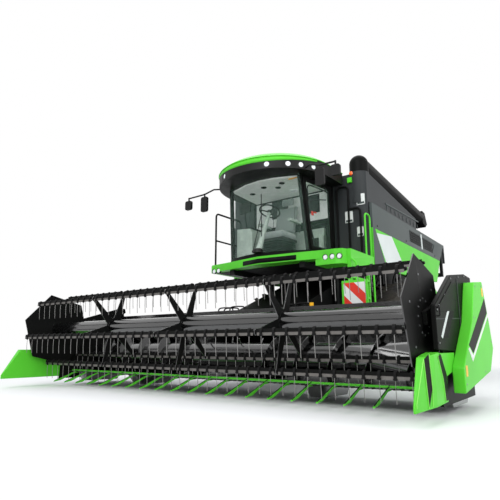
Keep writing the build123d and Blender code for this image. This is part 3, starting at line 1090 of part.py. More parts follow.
with BuildPart() as left_divider:
    slab([(CUTTER_Y + y, z) for y, z in LEFT_NOSE], *NOSE_LEFT)
    deck([(NOSE_LEFT[0] + 35, CUTTER_Y - 1001), (NOSE_LEFT[0], CUTTER_Y - 600),
          (NOSE_LEFT[0], CUTTER_Y - 249), (NOSE_LEFT[1], CUTTER_Y - 249),
          (NOSE_LEFT[1], CUTTER_Y - 600), (NOSE_LEFT[0] + 55, CUTTER_Y - 1001)],
         0, 700, mode=Mode.INTERSECT)
    slab([(CUTTER_Y - 250, 380), (CUTTER_Y - 420, 590), (CUTTER_Y + 90, 590), (CUTTER_Y + 20, 420),
          (CUTTER_Y - 240, 380)], GUARD_X, GUARD_X + GUARD_THICK)
finish(Compound(children=[*crop_dividers.part.solids(), *left_divider.part.solids()]), "crop_dividers")

# Left end of the header: the black guard over the drive and the green cover outside it
GUARD_OUTLINE = [(-450, 620), (-450, 1020), (200, 1370), (800, 1450), (1100, 1440), (1100, 500), (300, 450),
                 (120, 600)]
COVER_OUTLINE = [(-50, 220), (1190, 370), (1460, 620), (1370, 890), (1150, 1390), (710, 1340), (470, 900),
                 (-50, 450)]
COVER_X = GUARD_X + GUARD_THICK + SEAT_GAP
COVER_DEPTH = 110
COVER_SKIN = 18
with BuildPart() as drive_guard:
    slab([(CUTTER_Y + y, z) for y, z in GUARD_OUTLINE], GUARD_X, GUARD_X + GUARD_THICK)
finish(drive_guard.part, "drive_guard")
with BuildPart() as drive_cover:
    slab([(CUTTER_Y + y, z) for y, z in COVER_OUTLINE], COVER_X, COVER_X + COVER_DEPTH)
    with BuildSketch(Plane.YZ.offset(COVER_X)) as hollow:
        with BuildLine():
            Polyline(*[(CUTTER_Y + y, z) for y, z in COVER_OUTLINE], close=True)
        make_face()
        offset(amount=-COVER_SKIN, kind=Kind.INTERSECTION, mode=Mode.REPLACE)
    extrude(hollow.sketch, amount=COVER_DEPTH - COVER_SKIN, mode=Mode.SUBTRACT)
finish(drive_cover.part, "drive_cover")

# Header auger: a tube across the trough with flights that wind towards the middle, where fingers
# pass the crop back to the feeder. Each half turn of a flight is a half ring on a leaning plane.
AUGER_HALF = HEADER_HALF - 20
FLIGHT_R = AUGER_R - 3
FLIGHT_PITCH = 480
FLIGHT_THICK = 8
HALF_TURNS = 10
FLIGHT_START_X = 640
AUGER_FINGERS = 18
FINGER_STEP = 68
FINGER_TURN = 100
FINGER_R = 9
flight_slope = FLIGHT_PITCH / 4 / FLIGHT_R
with BuildPart() as header_auger:
    rod((-AUGER_HALF, AUGER_Y, AUGER_Z), (AUGER_HALF, AUGER_Y, AUGER_Z), AUGER_TUBE_R)
    rod((-HEADER_HALF + SEAT_GAP, AUGER_Y, AUGER_Z), (HEADER_HALF - SEAT_GAP, AUGER_Y, AUGER_Z), 40)
    for side in SIDES:
        for i in range(HALF_TURNS):
            place = (side * (FLIGHT_START_X + (i + 0.5) * FLIGHT_PITCH / 2), AUGER_Y, AUGER_Z)
            half = SIDES[i % 2]
            leaning = Plane(origin=place, x_dir=(0, 1, 0), z_dir=(1, 0, side * half * flight_slope))
            with BuildSketch(leaning) as flight:
                Ellipse(FLIGHT_R, FLIGHT_R * sqrt(1 + flight_slope**2))
                with Locations((half * FLIGHT_R, 0)):
                    Rectangle(2 * FLIGHT_R, 3 * FLIGHT_R, mode=Mode.INTERSECT)
            extrude(flight.sketch, amount=FLIGHT_THICK)
    for i in range(AUGER_FINGERS):
        x = (i - (AUGER_FINGERS - 1) / 2) * FINGER_STEP
        turn = radians(i * FINGER_TURN)
        reach = AUGER_R - 10
        rod((x, AUGER_Y, AUGER_Z), (x, AUGER_Y + reach * cos(turn), AUGER_Z + reach * sin(turn)), FINGER_R)
finish(header_auger.part, "header_auger")

# Reel: a tube with three stars and two hexagonal end plates, which hold the six bats
REEL_Y = CUTTER_Y - REEL_AHEAD
STAR_X = (-10 * TINE_PITCH, 0, 10 * TINE_PITCH)
STAR_THICK = 10
EYE_R = BAT_R + 14
JOURNAL_R = 14
REEL_SHAFT_R = 30
ARM_X = REEL_HALF + REEL_PLATE + 6
ARM_THICK = 40
bat_angles = [REEL_PHASE + i * FULL_TURN / BATS for i in range(BATS)]
bat_places = [(REEL_Y - REEL_R * cos(radians(a)), REEL_Z + REEL_R * sin(radians(a))) for a in bat_angles]
with BuildPart() as reel:
    rod((-REEL_HALF, REEL_Y, REEL_Z), (REEL_HALF, REEL_Y, REEL_Z), REEL_TUBE_R)
    for x in STAR_X:
        with BuildSketch(Plane.YZ.offset(x - STAR_THICK / 2)) as star:
            with Locations((REEL_Y, REEL_Z)):
                Circle(REEL_TUBE_R + 30)
            for y, z in bat_places:
                out = Vector(y - REEL_Y, z - REEL_Z) / REEL_R
                across = Vector(-out.Y, out.X)
                hub = Vector(REEL_Y, REEL_Z) + out * REEL_TUBE_R
                tip = Vector(y, z) - out * BAT_R
                spoke = (hub + across * 60, tip + across * 26, tip - across * 26, hub - across * 60)
                with BuildLine():
                    Polyline(*[tuple(corner)[:2] for corner in spoke], close=True)
                make_face()
                with Locations((y, z)):
                    Circle(EYE_R)
            with Locations(*bat_places):
                Circle(BAT_R + RUNNING_GAP, mode=Mode.SUBTRACT)
        extrude(star.sketch, amount=STAR_THICK)
    for side in SIDES:
        with BuildSketch(Plane.YZ.offset(side * REEL_HALF)) as end:
            with Locations((REEL_Y, REEL_Z)):
                RegularPolygon(REEL_R + REEL_PLATE_OVER, BATS, rotation=REEL_PHASE)
            with Locations(*bat_places):
                Circle(JOURNAL_R + RUNNING_GAP, mode=Mode.SUBTRACT)
        extrude(end.sketch, amount=side * REEL_PLATE)
        rod((side * REEL_HALF, REEL_Y, REEL_Z), (side * (ARM_X + ARM_THICK), REEL_Y, REEL_Z), REEL_SHAFT_R)
finish(reel.part, "reel")

# Reel bats: each is a tube with a flat rail and hanging tines, turning in the stars and end plates
RAIL_HALF = 34
RAIL_THICK = 6
STAR_ROOM = 25
rail_ends = [-REEL_HALF + 6, *[x + s * STAR_ROOM for x in STAR_X for s in SIDES], REEL_HALF - 6]
for number, (bat_y, bat_z) in enumerate(bat_places, start=1):
    with BuildPart() as bat:
        rod((-REEL_HALF + 1, bat_y, bat_z), (REEL_HALF - 1, bat_y, bat_z), BAT_R)
        rod((-REEL_HALF - REEL_PLATE, bat_y, bat_z), (REEL_HALF + REEL_PLATE, bat_y, bat_z), JOURNAL_R)
        with BuildSketch(Plane.XZ.offset(BAT_R - 2 - bat_y)) as rail:
            for start, end in zip(rail_ends[::2], rail_ends[1::2]):
                with Locations(((start + end) / 2, bat_z)):
                    Rectangle(end - start, 2 * RAIL_HALF)
            with Locations(*[((i - (TINES - 1) / 2) * TINE_PITCH, bat_z) for i in range(TINES)]):
                Rectangle(TINE, TINE_LENGTH, align=(Align.CENTER, Align.MAX))
        extrude(rail.sketch, amount=RAIL_THICK)
    finish(bat.part, f"reel_bat_{number}")

# Reel arms: one beyond each end of the reel, from the header's back top to the reel's shaft
ARM_ROOT = 75
ARM_NOSE = 62
ARM_TAIL = 45
arm_root = Vector(CUTTER_Y + ARM_PIVOT_BACK, ARM_PIVOT_Z)
arm_nose = Vector(REEL_Y, REEL_Z)
arm_along = (arm_root - arm_nose).normalized()
arm_up = Vector(-arm_along.Y, arm_along.X)
with BuildPart() as reel_arms:
    for side in SIDES:
        with BuildSketch(Plane.YZ.offset(side * ARM_X)) as arm:
            with BuildLine():
                corners = [
                    arm_root + arm_along * ARM_TAIL + arm_up * ARM_ROOT * 0.6,
                    arm_root - arm_along * ARM_NOSE + arm_up * ARM_ROOT,
                    arm_nose - arm_along * ARM_NOSE + arm_up * ARM_NOSE,
                    arm_nose - arm_along * ARM_NOSE - arm_up * ARM_NOSE,
                    arm_root - arm_along * ARM_NOSE - arm_up * ARM_ROOT,
                    arm_root + arm_along * ARM_TAIL - arm_up * ARM_ROOT * 0.4,
                ]
                Polyline(*[tuple(p)[:2] for p in corners], close=True)
            make_face()
            with Locations(tuple(arm_root)[:2]):
                Circle(ARM_PIN_R + RUNNING_GAP, mode=Mode.SUBTRACT)
            with Locations(tuple(arm_nose)[:2]):
                Circle(REEL_SHAFT_R + RUNNING_GAP, mode=Mode.SUBTRACT)
        extrude(arm.sketch, amount=side * ARM_THICK)
        rod((side * (ARM_X + 5), CUTTER_Y + REEL_EYE[0], REEL_EYE[1]),
            (side * (REEL_CYL_X - 22), CUTTER_Y + REEL_EYE[0], REEL_EYE[1]), REEL_PIN_R)
finish(reel_arms.part, "reel_arms")


def cylinder_pair(name, x, foot, eye, barrel_r, rod_r, pin_r, barrel_share, eye_gap):
    """Builds a pair of lift cylinders as barrels on their foot pins and rods towards their eyes.

    foot and eye are (y, z) places of the two pins."""
    foot, eye = Vector(*foot), Vector(*eye)
    reach = eye - foot
    along = reach.normalized()
    mouth = foot + reach * barrel_share
    with BuildPart() as barrels:
        for side in SIDES:
            rod((side * (x - barrel_r), *tuple(foot)[:2]), (side * (x + barrel_r), *tuple(foot)[:2]),
                pin_r * 1.9)
            rod((side * x, *tuple(foot + along * pin_r)[:2]), (side * x, *tuple(mouth)[:2]), barrel_r)
            rod((side * (x - barrel_r - 1), *tuple(foot)[:2]), (side * (x + barrel_r + 1), *tuple(foot)[:2]),
                pin_r + RUNNING_GAP, mode=Mode.SUBTRACT)
            rod((side * x, *tuple(foot + along * (2 * barrel_r + pin_r))[:2]),
                (side * x, *tuple(mouth + along)[:2]), rod_r + RUNNING_GAP, mode=Mode.SUBTRACT)
    finish(barrels.part, f"{name}_barrels")
    with BuildPart() as rods:
        for side in SIDES:
            rod((side * x, *tuple(foot + along * (2 * barrel_r + pin_r + 10))[:2]),
                (side * x, *tuple(eye - along * (pin_r + eye_gap))[:2]), rod_r)
            rod((side * (x - barrel_r / 2), *tuple(eye)[:2]), (side * (x + barrel_r / 2), *tuple(eye)[:2]),
                pin_r + eye_gap + 14)
            rod((side * (x - barrel_r), *tuple(eye)[:2]), (side * (x + barrel_r), *tuple(eye)[:2]),
                pin_r + eye_gap, mode=Mode.SUBTRACT)
    finish(rods.part, f"{name}_rods")


cylinder_pair("lift_cylinder", LIFT_X, (LIFT_FOOT_Y, LIFT_FOOT_Z), (CUTTER_Y + LIFT_EYE[0], LIFT_EYE[1]),
              45, 25, LIFT_PIN_R, 0.72, 9)
cylinder_pair("reel_cylinder", REEL_CYL_X, (CUTTER_Y + REEL_FOOT[0], REEL_FOOT[1]),
              (CUTTER_Y + REEL_EYE[0], REEL_EYE[1]), 22, 11, REEL_PIN_R, 0.8, 9)
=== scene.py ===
"""Looks of a combine harvester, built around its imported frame.

Every length is in metres, +X is the machine's own left side, -Y is forwards and +Z is up.
"""

from __future__ import annotations

import json
import logging
import math
from dataclasses import dataclass
from enum import Enum
from typing import Iterable, Sequence

import bmesh
import bpy
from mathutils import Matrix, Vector
from mathutils.bvhtree import BVHTree


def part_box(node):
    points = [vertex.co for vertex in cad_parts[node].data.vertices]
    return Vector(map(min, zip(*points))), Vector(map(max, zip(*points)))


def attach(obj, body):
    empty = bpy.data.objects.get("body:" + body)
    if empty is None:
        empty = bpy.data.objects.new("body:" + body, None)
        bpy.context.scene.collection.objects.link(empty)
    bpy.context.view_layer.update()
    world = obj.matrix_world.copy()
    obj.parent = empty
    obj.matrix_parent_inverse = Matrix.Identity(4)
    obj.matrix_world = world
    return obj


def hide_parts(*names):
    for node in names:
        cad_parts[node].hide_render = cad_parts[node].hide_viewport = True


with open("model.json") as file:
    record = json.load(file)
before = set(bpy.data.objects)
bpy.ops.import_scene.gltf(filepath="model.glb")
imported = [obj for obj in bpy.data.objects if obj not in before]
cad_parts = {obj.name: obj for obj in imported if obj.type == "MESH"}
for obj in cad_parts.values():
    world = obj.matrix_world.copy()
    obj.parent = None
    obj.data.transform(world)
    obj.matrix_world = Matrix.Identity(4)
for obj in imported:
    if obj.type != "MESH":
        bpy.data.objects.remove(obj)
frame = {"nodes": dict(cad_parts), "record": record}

log = logging.getLogger("harvester")
Point = tuple[float, float, float]
Flat = tuple[float, float]
Colour = tuple[float, float, float, float]
Socket = bpy.types.NodeSocket
Corner = bmesh.types.BMVert


def srgb(red: float, green: float, blue: float) -> Colour:
    """Turns a colour as it looks on a screen into the linear one that shaders take.

    Args:
        red, green, blue: parts of the colour, from 0 to 1.

    Returns:
        The linear colour with an alpha of 1.
    """
    def linear(part: float) -> float:
        """Undoes the screen's curve for one part."""
        return part / 12.92 if part <= 0.04045 else ((part + 0.055) / 1.055) ** 2.4

    return (linear(red), linear(green), linear(blue), 1.0)


def shade(colour: Colour, share: float) -> Colour:
    """Gives a colour made lighter or darker by a share."""
    return (*(min(1.0, part * share) for part in colour[:3]), 1.0)


class Tree:
    """A node tree with short calls to add nodes and join them."""

    def __init__(self, nodes: bpy.types.NodeTree) -> None:
        """Keeps the tree that is being written."""
        self.tree = nodes

    def fill(self, node: bpy.types.Node, inputs: dict[str | int, object]) -> None:
        """Sets or joins inputs of a node.

        Args:
            node: the node.
            inputs: a value or another node's output for each input, by its name or number.
        """
        for label, value in inputs.items():
            if isinstance(value, Socket):
                self.tree.links.new(value, node.inputs[label])
            else:
                node.inputs[label].default_value = value

    def add(self, kind: str, inputs: dict[str | int, object] | None = None, **settings: object) -> bpy.types.Node:
        """Adds a node.

        Args:
            kind: the node's type name.
            inputs: a value or an output for each input, by its name or number.
            settings: attributes set on the node.

        Returns:
            The new node.
        """
        node = self.tree.nodes.new(kind)
        for name, value in settings.items():
            setattr(node, name, value)
        self.fill(node, inputs or {})
        return node

    def noise(self, vector: Socket, scale: float, detail: float = 4.0, roughness: float = 0.55) -> Socket:
        """Adds a noise texture on a vector and returns its value."""
        inputs = {"Vector": vector, "Scale": scale, "Detail": detail, "Roughness": roughness}
        return self.add("ShaderNodeTexNoise", inputs).outputs["Fac"]

    def ramp(self, value: Socket, low: float | Socket, high: float | Socket, to_low: float = 0.0,
             to_high: float = 1.0) -> Socket:
        """Maps a value from one range to another, with its ends held."""
        inputs = {"Value": value, "From Min": low, "From Max": high, "To Min": to_low, "To Max": to_high}
        return self.add("ShaderNodeMapRange", inputs).outputs["Result"]

    def math(self, operation: str, first: float | Socket, second: float | Socket) -> Socket:
        """Combines two sockets or numbers."""
        return self.add("ShaderNodeMath", {0: first, 1: second}, operation=operation).outputs[0]

    def product(self, first: Socket, *others: float | Socket) -> Socket:
        """Multiplies a socket by others in turn.

        Args:
            first: the socket.
            others: sockets or numbers.

        Returns:
            The product's socket.
        """
        for other in others:
            first = self.math("MULTIPLY", first, other)
        return first

    def mix(self, factor: Socket, first: Colour | Socket, second: Colour | Socket) -> Socket:
        """Mixes two colours."""
        return self.add("ShaderNodeMix", {0: factor, 6: first, 7: second}, data_type="RGBA").outputs[2]

    def bump(self, height: Socket, depth: float, strength: float) -> Socket:
        """Turns a height into a normal, with its depth in metres."""
        return self.add("ShaderNodeBump", {"Height": height, "Distance": depth, "Strength": strength}).outputs[0]

    def seen_sharply(self) -> Socket:
        """Tells the camera's look, also in a reflection or through glass, from soft light.

        Returns:
            A socket that gives 1 for the look and 0 for soft light.
        """
        ray = self.add("ShaderNodeLightPath").outputs
        sharp = self.math("MAXIMUM", ray["Is Glossy Ray"], ray["Is Transmission Ray"])
        return self.math("MAXIMUM", ray["Is Camera Ray"], sharp)


class Effects:
    """The shader node groups that several finishes share."""

    @staticmethod
    def open(name: str, numbers: dict[str, float], results: Sequence[str]) -> tuple[
            Tree, bpy.types.NodeOutputs, bpy.types.Node]:
        """Makes an empty group that reads a Vector.

        Args:
            name: the group's name.
            numbers: the default of each further input.
            results: the name of each output.

        Returns:
            The tree, the group's inputs and its output node.
        """
        group = bpy.data.node_groups.new(name, "ShaderNodeTree")
        group.interface.new_socket("Vector", in_out="INPUT", socket_type="NodeSocketVector")
        for label, default in numbers.items():
            socket = group.interface.new_socket(label, in_out="INPUT", socket_type="NodeSocketFloat")
            socket.default_value = default
        for label in results:
            group.interface.new_socket(label, in_out="OUTPUT", socket_type="NodeSocketFloat")
        tree = Tree(group)
        return tree, tree.add("NodeGroupInput").outputs, tree.add("NodeGroupOutput")

    @classmethod
    def place(cls, tree: Tree, name: str, vector: Socket, **numbers: float) -> bpy.types.NodeOutputs:
        """Places an effect in a material and builds it the first time.

        Args:
            tree: the material's tree.
            name: the effect's name.
            vector: the vector that it reads.
            numbers: values of its other inputs.

        Returns:
            The effect's outputs.
        """
        if name not in bpy.data.node_groups:
            getattr(cls, name)()
        node = tree.add("ShaderNodeGroup", node_tree=bpy.data.node_groups[name])
        tree.fill(node, {"Vector": vector, **numbers})
        return node.outputs

    @classmethod
    def field_dust(cls) -> None:
        """Dust that lies on upward faces and thickens towards the ground.

        Amount scales it, and Reach is the height at which the splashed dust fades out.
        """
        tree, given, sink = cls.open("field_dust", {"Amount": 0.3, "Reach": 1.2}, ["Mask"])
        normal = tree.add("ShaderNodeNewGeometry").outputs["Normal"]
        height, facing = (tree.add("ShaderNodeSeparateXYZ", {0: vector}).outputs["Z"]
                          for vector in (given["Vector"], normal))
        splashed = tree.ramp(height, 0.0, given["Reach"], 1.0, 0.0)
        settled = tree.ramp(facing, 0.35, 1.0, 0.0, 0.45)
        patches = tree.ramp(tree.noise(given["Vector"], 3.2, 6.0, 0.65), 0.38, 0.72)
        fine = tree.ramp(tree.noise(given["Vector"], 48.0, 3.0), 0.3, 0.75, 0.5, 1.0)
        both = tree.math("MAXIMUM", splashed, settled)
        tree.fill(sink, {"Mask": tree.product(both, patches, fine, given["Amount"])})

    @classmethod
    def sprayed_skin(cls) -> None:
        """The faint waviness of sprayed paint, as a height, with slow changes of shade as a mask."""
        tree, given, sink = cls.open("sprayed_skin", {}, ["Height", "Shade"])
        tree.fill(sink, {"Height": tree.noise(given["Vector"], 260.0, 2.0),
                         "Shade": tree.ramp(tree.noise(given["Vector"], 1.4, 3.0), 0.3, 0.7)})

    @classmethod
    def moulded_grain(cls) -> None:
        """The pebbled grain of moulded plastic and rubber as a height, with a mask of scuffs."""
        tree, given, sink = cls.open("moulded_grain", {"Scale": 400.0}, ["Height", "Scuff"])
        cells = tree.add("ShaderNodeTexVoronoi", {"Vector": given["Vector"], "Scale": given["Scale"]})
        tree.fill(sink, {"Height": cells.outputs["Distance"],
                         "Scuff": tree.ramp(tree.noise(given["Vector"], 9.0, 8.0, 0.7), 0.45, 0.75)})

    @classmethod
    def rubbed_metal(cls) -> None:
        """Fine lines rubbed along X as a height, and blotches where the surface is duller."""
        tree, given, sink = cls.open("rubbed_metal", {}, ["Height", "Blotch"])
        stretch = tree.add("ShaderNodeMapping", {"Vector": given["Vector"], "Scale": (3.0, 240.0, 240.0)})
        tree.fill(sink, {"Height": tree.noise(stretch.outputs["Vector"], 3.0, 3.0),
                         "Blotch": tree.ramp(tree.noise(given["Vector"], 11.0, 6.0, 0.7), 0.35, 0.7)})


DUST = srgb(0.62, 0.56, 0.45)


def blank_material(name: str) -> tuple[bpy.types.Material, Tree]:
    """Makes a material whose node tree is empty.

    Args:
        name: the material's name.

    Returns:
        The material and its tree.
    """
    made = bpy.data.materials.new(name)
    made.use_nodes = True
    made.node_tree.nodes.clear()
    return made, Tree(made.node_tree)


@dataclass(frozen=True)
class Finish:
    """What all finishes share: a name, a colour, how rough the surface is and how much it shines."""

    name: str
    colour: Colour
    roughness: float = 0.4
    shine: float = 0.5

    def material(self) -> bpy.types.Material:
        """Gives the finish's material and builds it the first time.

        Returns:
            The material.
        """
        found = bpy.data.materials.get(self.name)
        if found:
            return found
        made, tree = blank_material(self.name)
        made.diffuse_color = self.colour
        shader = tree.add("ShaderNodeBsdfPrincipled", {"Base Color": self.colour, "Roughness": self.roughness,
                                                       "Specular IOR Level": self.shine})
        tree.add("ShaderNodeOutputMaterial", {0: shader.outputs[0]})
        tree.fill(shader, self.dress(tree, tree.add("ShaderNodeTexCoord").outputs["Object"]))
        return made

    def dress(self, tree: Tree, place: Socket) -> dict[str, object]:
        """Gives what is special to the finish for its shader's inputs.

        Args:
            tree: the material's tree.
            place: the vector that its patterns read.

        Returns:
            Values and outputs for the shader's inputs.
        """
        return {}

    def dusted(self, tree: Tree, place: Socket, tone: Socket, amount: float, reach: float) -> tuple[Socket, Socket]:
        """Lays field dust over a colour.

        Args:
            tree: the material's tree.
            place: the vector that the dust reads.
            tone: the clean colour.
            amount: how much dust there is.
            reach: the height up to which it is splashed.

        Returns:
            The dusty colour and the mask of the dust.
        """
        mask = Effects.place(tree, "field_dust", place, Amount=amount, Reach=reach)["Mask"]
        return tree.mix(mask, tone, DUST), mask


@dataclass(frozen=True)
class Paint(Finish):
    """Sprayed paint with a clear gloss and a film of dust."""

    gloss: float = 0.6
    dust: float = 0.25
    reach: float = 1.1

    def dress(self, tree: Tree, place: Socket) -> dict[str, object]:
        """Varies the shade, dusts the paint and gives it a clear coat.

        Args:
            tree: the material's tree.
            place: the vector that its patterns read.

        Returns:
            Values and outputs for the shader's inputs.
        """
        skin = Effects.place(tree, "sprayed_skin", place)
        tone = tree.mix(skin["Shade"], shade(self.colour, 0.93), shade(self.colour, 1.05))
        colour, mask = self.dusted(tree, place, tone, self.dust, self.reach)
        return {"Base Color": colour, "Roughness": tree.ramp(mask, 0.0, 0.6, self.roughness, 0.85),
                "Coat Weight": self.gloss, "Coat Roughness": 0.08, "Normal": tree.bump(skin["Height"], 0.0004, 0.35)}


@dataclass(frozen=True)
class Plastic(Finish):
    """Moulded plastic or rubber with a pebbled grain and light scuffs."""

    grain: float = 420.0
    depth: float = 0.0006
    dust: float = 0.3
    reach: float = 0.6

    def dress(self, tree: Tree, place: Socket) -> dict[str, object]:
        """Adds the grain, the scuffs and the dust.

        Args:
            tree: the material's tree.
            place: the vector that its patterns read.

        Returns:
            Values and outputs for the shader's inputs.
        """
        skin = Effects.place(tree, "moulded_grain", place, Scale=self.grain)
        tone = tree.mix(skin["Scuff"], self.colour, shade(self.colour, 1.5))
        colour, _ = self.dusted(tree, place, tone, self.dust, self.reach)
        rough = tree.ramp(skin["Scuff"], 0.0, 1.0, self.roughness, self.roughness + 0.15)
        return {"Base Color": colour, "Roughness": rough, "Normal": tree.bump(skin["Height"], self.depth, 0.6)}


@dataclass(frozen=True)
class Metal(Finish):
    """Bare or plated metal, rubbed and dulled in blotches."""

    dulled: float = 0.25
    dust: float = 0.15

    def dress(self, tree: Tree, place: Socket) -> dict[str, object]:
        """Adds the rubbed lines, the duller blotches and the dust.

        Args:
            tree: the material's tree.
            place: the vector that its patterns read.

        Returns:
            Values and outputs for the shader's inputs.
        """
        skin = Effects.place(tree, "rubbed_metal", place)
        tone = tree.mix(skin["Blotch"], self.colour, shade(self.colour, 0.78))
        colour, _ = self.dusted(tree, place, tone, self.dust, 0.9)
        rough = tree.ramp(skin["Blotch"], 0.0, 1.0, self.roughness, self.roughness + self.dulled)
        return {"Base Color": colour, "Roughness": rough, "Metallic": 1.0,
                "Normal": tree.bump(skin["Height"], 0.0003, 0.4)}


@dataclass(frozen=True)
class Glass(Finish):
    """Tinted safety glass with a thin film of dust in patches."""

    alpha: float = 0.03

    def dress(self, tree: Tree, place: Socket) -> dict[str, object]:
        """Lets light through and keeps the reflections."""
        return {"Alpha": tree.ramp(tree.noise(place, 2.2, 6.0, 0.7), 0.35, 0.8, self.alpha, self.alpha + 0.03)}


@dataclass(frozen=True)
class Cloth(Finish):
    """Woven seat cloth with a soft sheen."""

    weave: float = 90.0

    def dress(self, tree: Tree, place: Socket) -> dict[str, object]:
        """Adds the weave as two crossed waves and varies the colour.

        Args:
            tree: the material's tree.
            place: the vector that its patterns read.

        Returns:
            Values and outputs for the shader's inputs.
        """
        threads = (tree.add("ShaderNodeTexWave", {"Scale": self.weave, "Vector": place}, bands_direction=way)
                   for way in "XZ")
        height = tree.product(*(thread.outputs["Fac"] for thread in threads))
        tone = tree.mix(tree.ramp(height, 0.0, 1.0), shade(self.colour, 0.75), shade(self.colour, 1.25))
        return {"Base Color": tone, "Sheen Weight": 0.4, "Normal": tree.bump(height, 0.0008, 0.7)}


class Look(Enum):
    """The finishes of the machine's pieces."""

    GREEN = Paint("green paint", srgb(0.335, 0.775, 0.19), 0.42, 0.18, gloss=0.05, dust=0.03)
    # a lighter copy of the green paint, laid as painted highlights along folded edges
    PAINTED_HIGHLIGHT = Paint("green painted highlight", srgb(0.52, 0.86, 0.36), 0.40, 0.3, gloss=0.2, dust=0.02)
    BLACK = Paint("black paint", srgb(0.070, 0.072, 0.070), 0.42, 0.05, gloss=0.0, dust=0.015)
    GLOSSY = Paint("glossy black tube", srgb(0.030, 0.031, 0.032), 0.15, 1.0, gloss=0.6, dust=0.0)
    GREY = Paint("anthracite paint", srgb(0.215, 0.225, 0.23), 0.45, 0.12, gloss=0.0, dust=0.03)
    PANEL = Paint("grey panel paint", srgb(0.27, 0.30, 0.295), 0.42, 0.15, gloss=0.05, dust=0.03)
    FRAME = Paint("frame paint", srgb(0.075, 0.078, 0.08), 0.50, 0.2, gloss=0.0, dust=0.12)
    SILVER = Paint("silver paint", srgb(0.80, 0.83, 0.82), 0.36, 0.4, gloss=0.4, dust=0.04)
    RIM = Paint("rim paint", srgb(0.76, 0.77, 0.77), 0.36, 0.4, gloss=0.4, dust=0.25)
    RED = Paint("red board", srgb(0.84, 0.17, 0.09), 0.38, 0.3, gloss=0.2, dust=0.04)
    WHITE = Paint("white board", srgb(0.86, 0.87, 0.86), 0.38, 0.3, gloss=0.2, dust=0.04)
    YELLOW = Paint("orange yellow label", srgb(0.95, 0.70, 0.08), 0.4, 0.3, gloss=0.2, dust=0.04)
    STEEL = Metal("worn steel", srgb(0.60, 0.61, 0.62), 0.34)
    TINE = Metal("spring steel", srgb(0.60, 0.595, 0.59), 0.40)
    RAIL = Metal("galvanised rail", srgb(0.47, 0.46, 0.45), 0.45, dulled=0.2)
    CHROME = Metal("chromed rod", srgb(0.85, 0.86, 0.87), 0.10, dulled=0.1, dust=0.05)
    SILVERED = Metal("mirror silver", srgb(0.88, 0.89, 0.90), 0.03, dulled=0.02, dust=0.0)
    CAST = Plastic("cast iron", srgb(0.10, 0.10, 0.105), 0.6, 0.25, grain=220.0, depth=0.0012, dust=0.15)
    TYRE = Plastic("tyre rubber", srgb(0.155, 0.152, 0.15), 0.78, 0.15, grain=180.0, depth=0.0010, dust=0.45, reach=2.2)
    PLASTIC = Plastic("black plastic", srgb(0.05, 0.052, 0.052), 0.45, 0.25, dust=0.03)
    SEAL = Plastic("black seal", srgb(0.03, 0.03, 0.032), 0.65, 0.2, dust=0.02)
    LINING = Plastic("pale cab lining", srgb(0.90, 0.92, 0.90), 0.6, 0.3, grain=300.0, dust=0.0)
    CONSOLE = Plastic("cab console", srgb(0.60, 0.65, 0.61), 0.55, 0.3, grain=300.0, dust=0.0)
    LENS = Plastic("clear lens", srgb(0.90, 0.92, 0.93), 0.08, 0.5, grain=90.0, depth=0.0015, dust=0.0)
    AMBER = Plastic("amber lens", srgb(0.93, 0.36, 0.04), 0.15, 0.5, grain=90.0, depth=0.0010, dust=0.0)
    TAIL = Plastic("red lens", srgb(0.75, 0.05, 0.04), 0.15, 0.5, grain=90.0, depth=0.0010, dust=0.0)
    GLASS = Glass("tinted glass", srgb(0.60, 0.74, 0.67), 0.03, 0.30)
    SEAT = Cloth("seat cloth", srgb(0.58, 0.62, 0.60), 0.85, 0.2)

    def material(self) -> bpy.types.Material:
        """Gives the material of this finish."""
        return self.value.material()


BODY_OF = {node: body for body, nodes in frame["record"]["behaviour"]["bodies"].items() for node in nodes}
SLOT_OF = {row["node"]: row["material_slot"] for row in frame["record"]["subparts"]}
SHARP_EDGE = math.radians(38)


def stand(name: str, data: bpy.types.ID) -> bpy.types.Object:
    """Puts an object in the scene.

    Args:
        name: its name.
        data: its mesh, camera or light.

    Returns:
        The object.
    """
    made = bpy.data.objects.new(name, data)
    bpy.context.scene.collection.objects.link(made)
    return made


def bake(piece: bpy.types.Object) -> None:
    """Applies all modifiers of a piece.

    Args:
        piece: the piece.
    """
    ready = piece.evaluated_get(bpy.context.evaluated_depsgraph_get())
    made = bpy.data.meshes.new_from_object(ready)
    piece.modifiers.clear()
    piece.data = made


def ride_slot(piece: bpy.types.Object, node: str, slot: str | None = None) -> None:
    """Fixes a piece to a node's body.

    Args:
        piece: the piece.
        node: the node.
        slot: the record's material slot, where it isn't the node's own; not used.
    """
    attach(piece, BODY_OF[node])
    slot or SLOT_OF[node]
    log.info("made %s on %s", piece.name, BODY_OF[node])


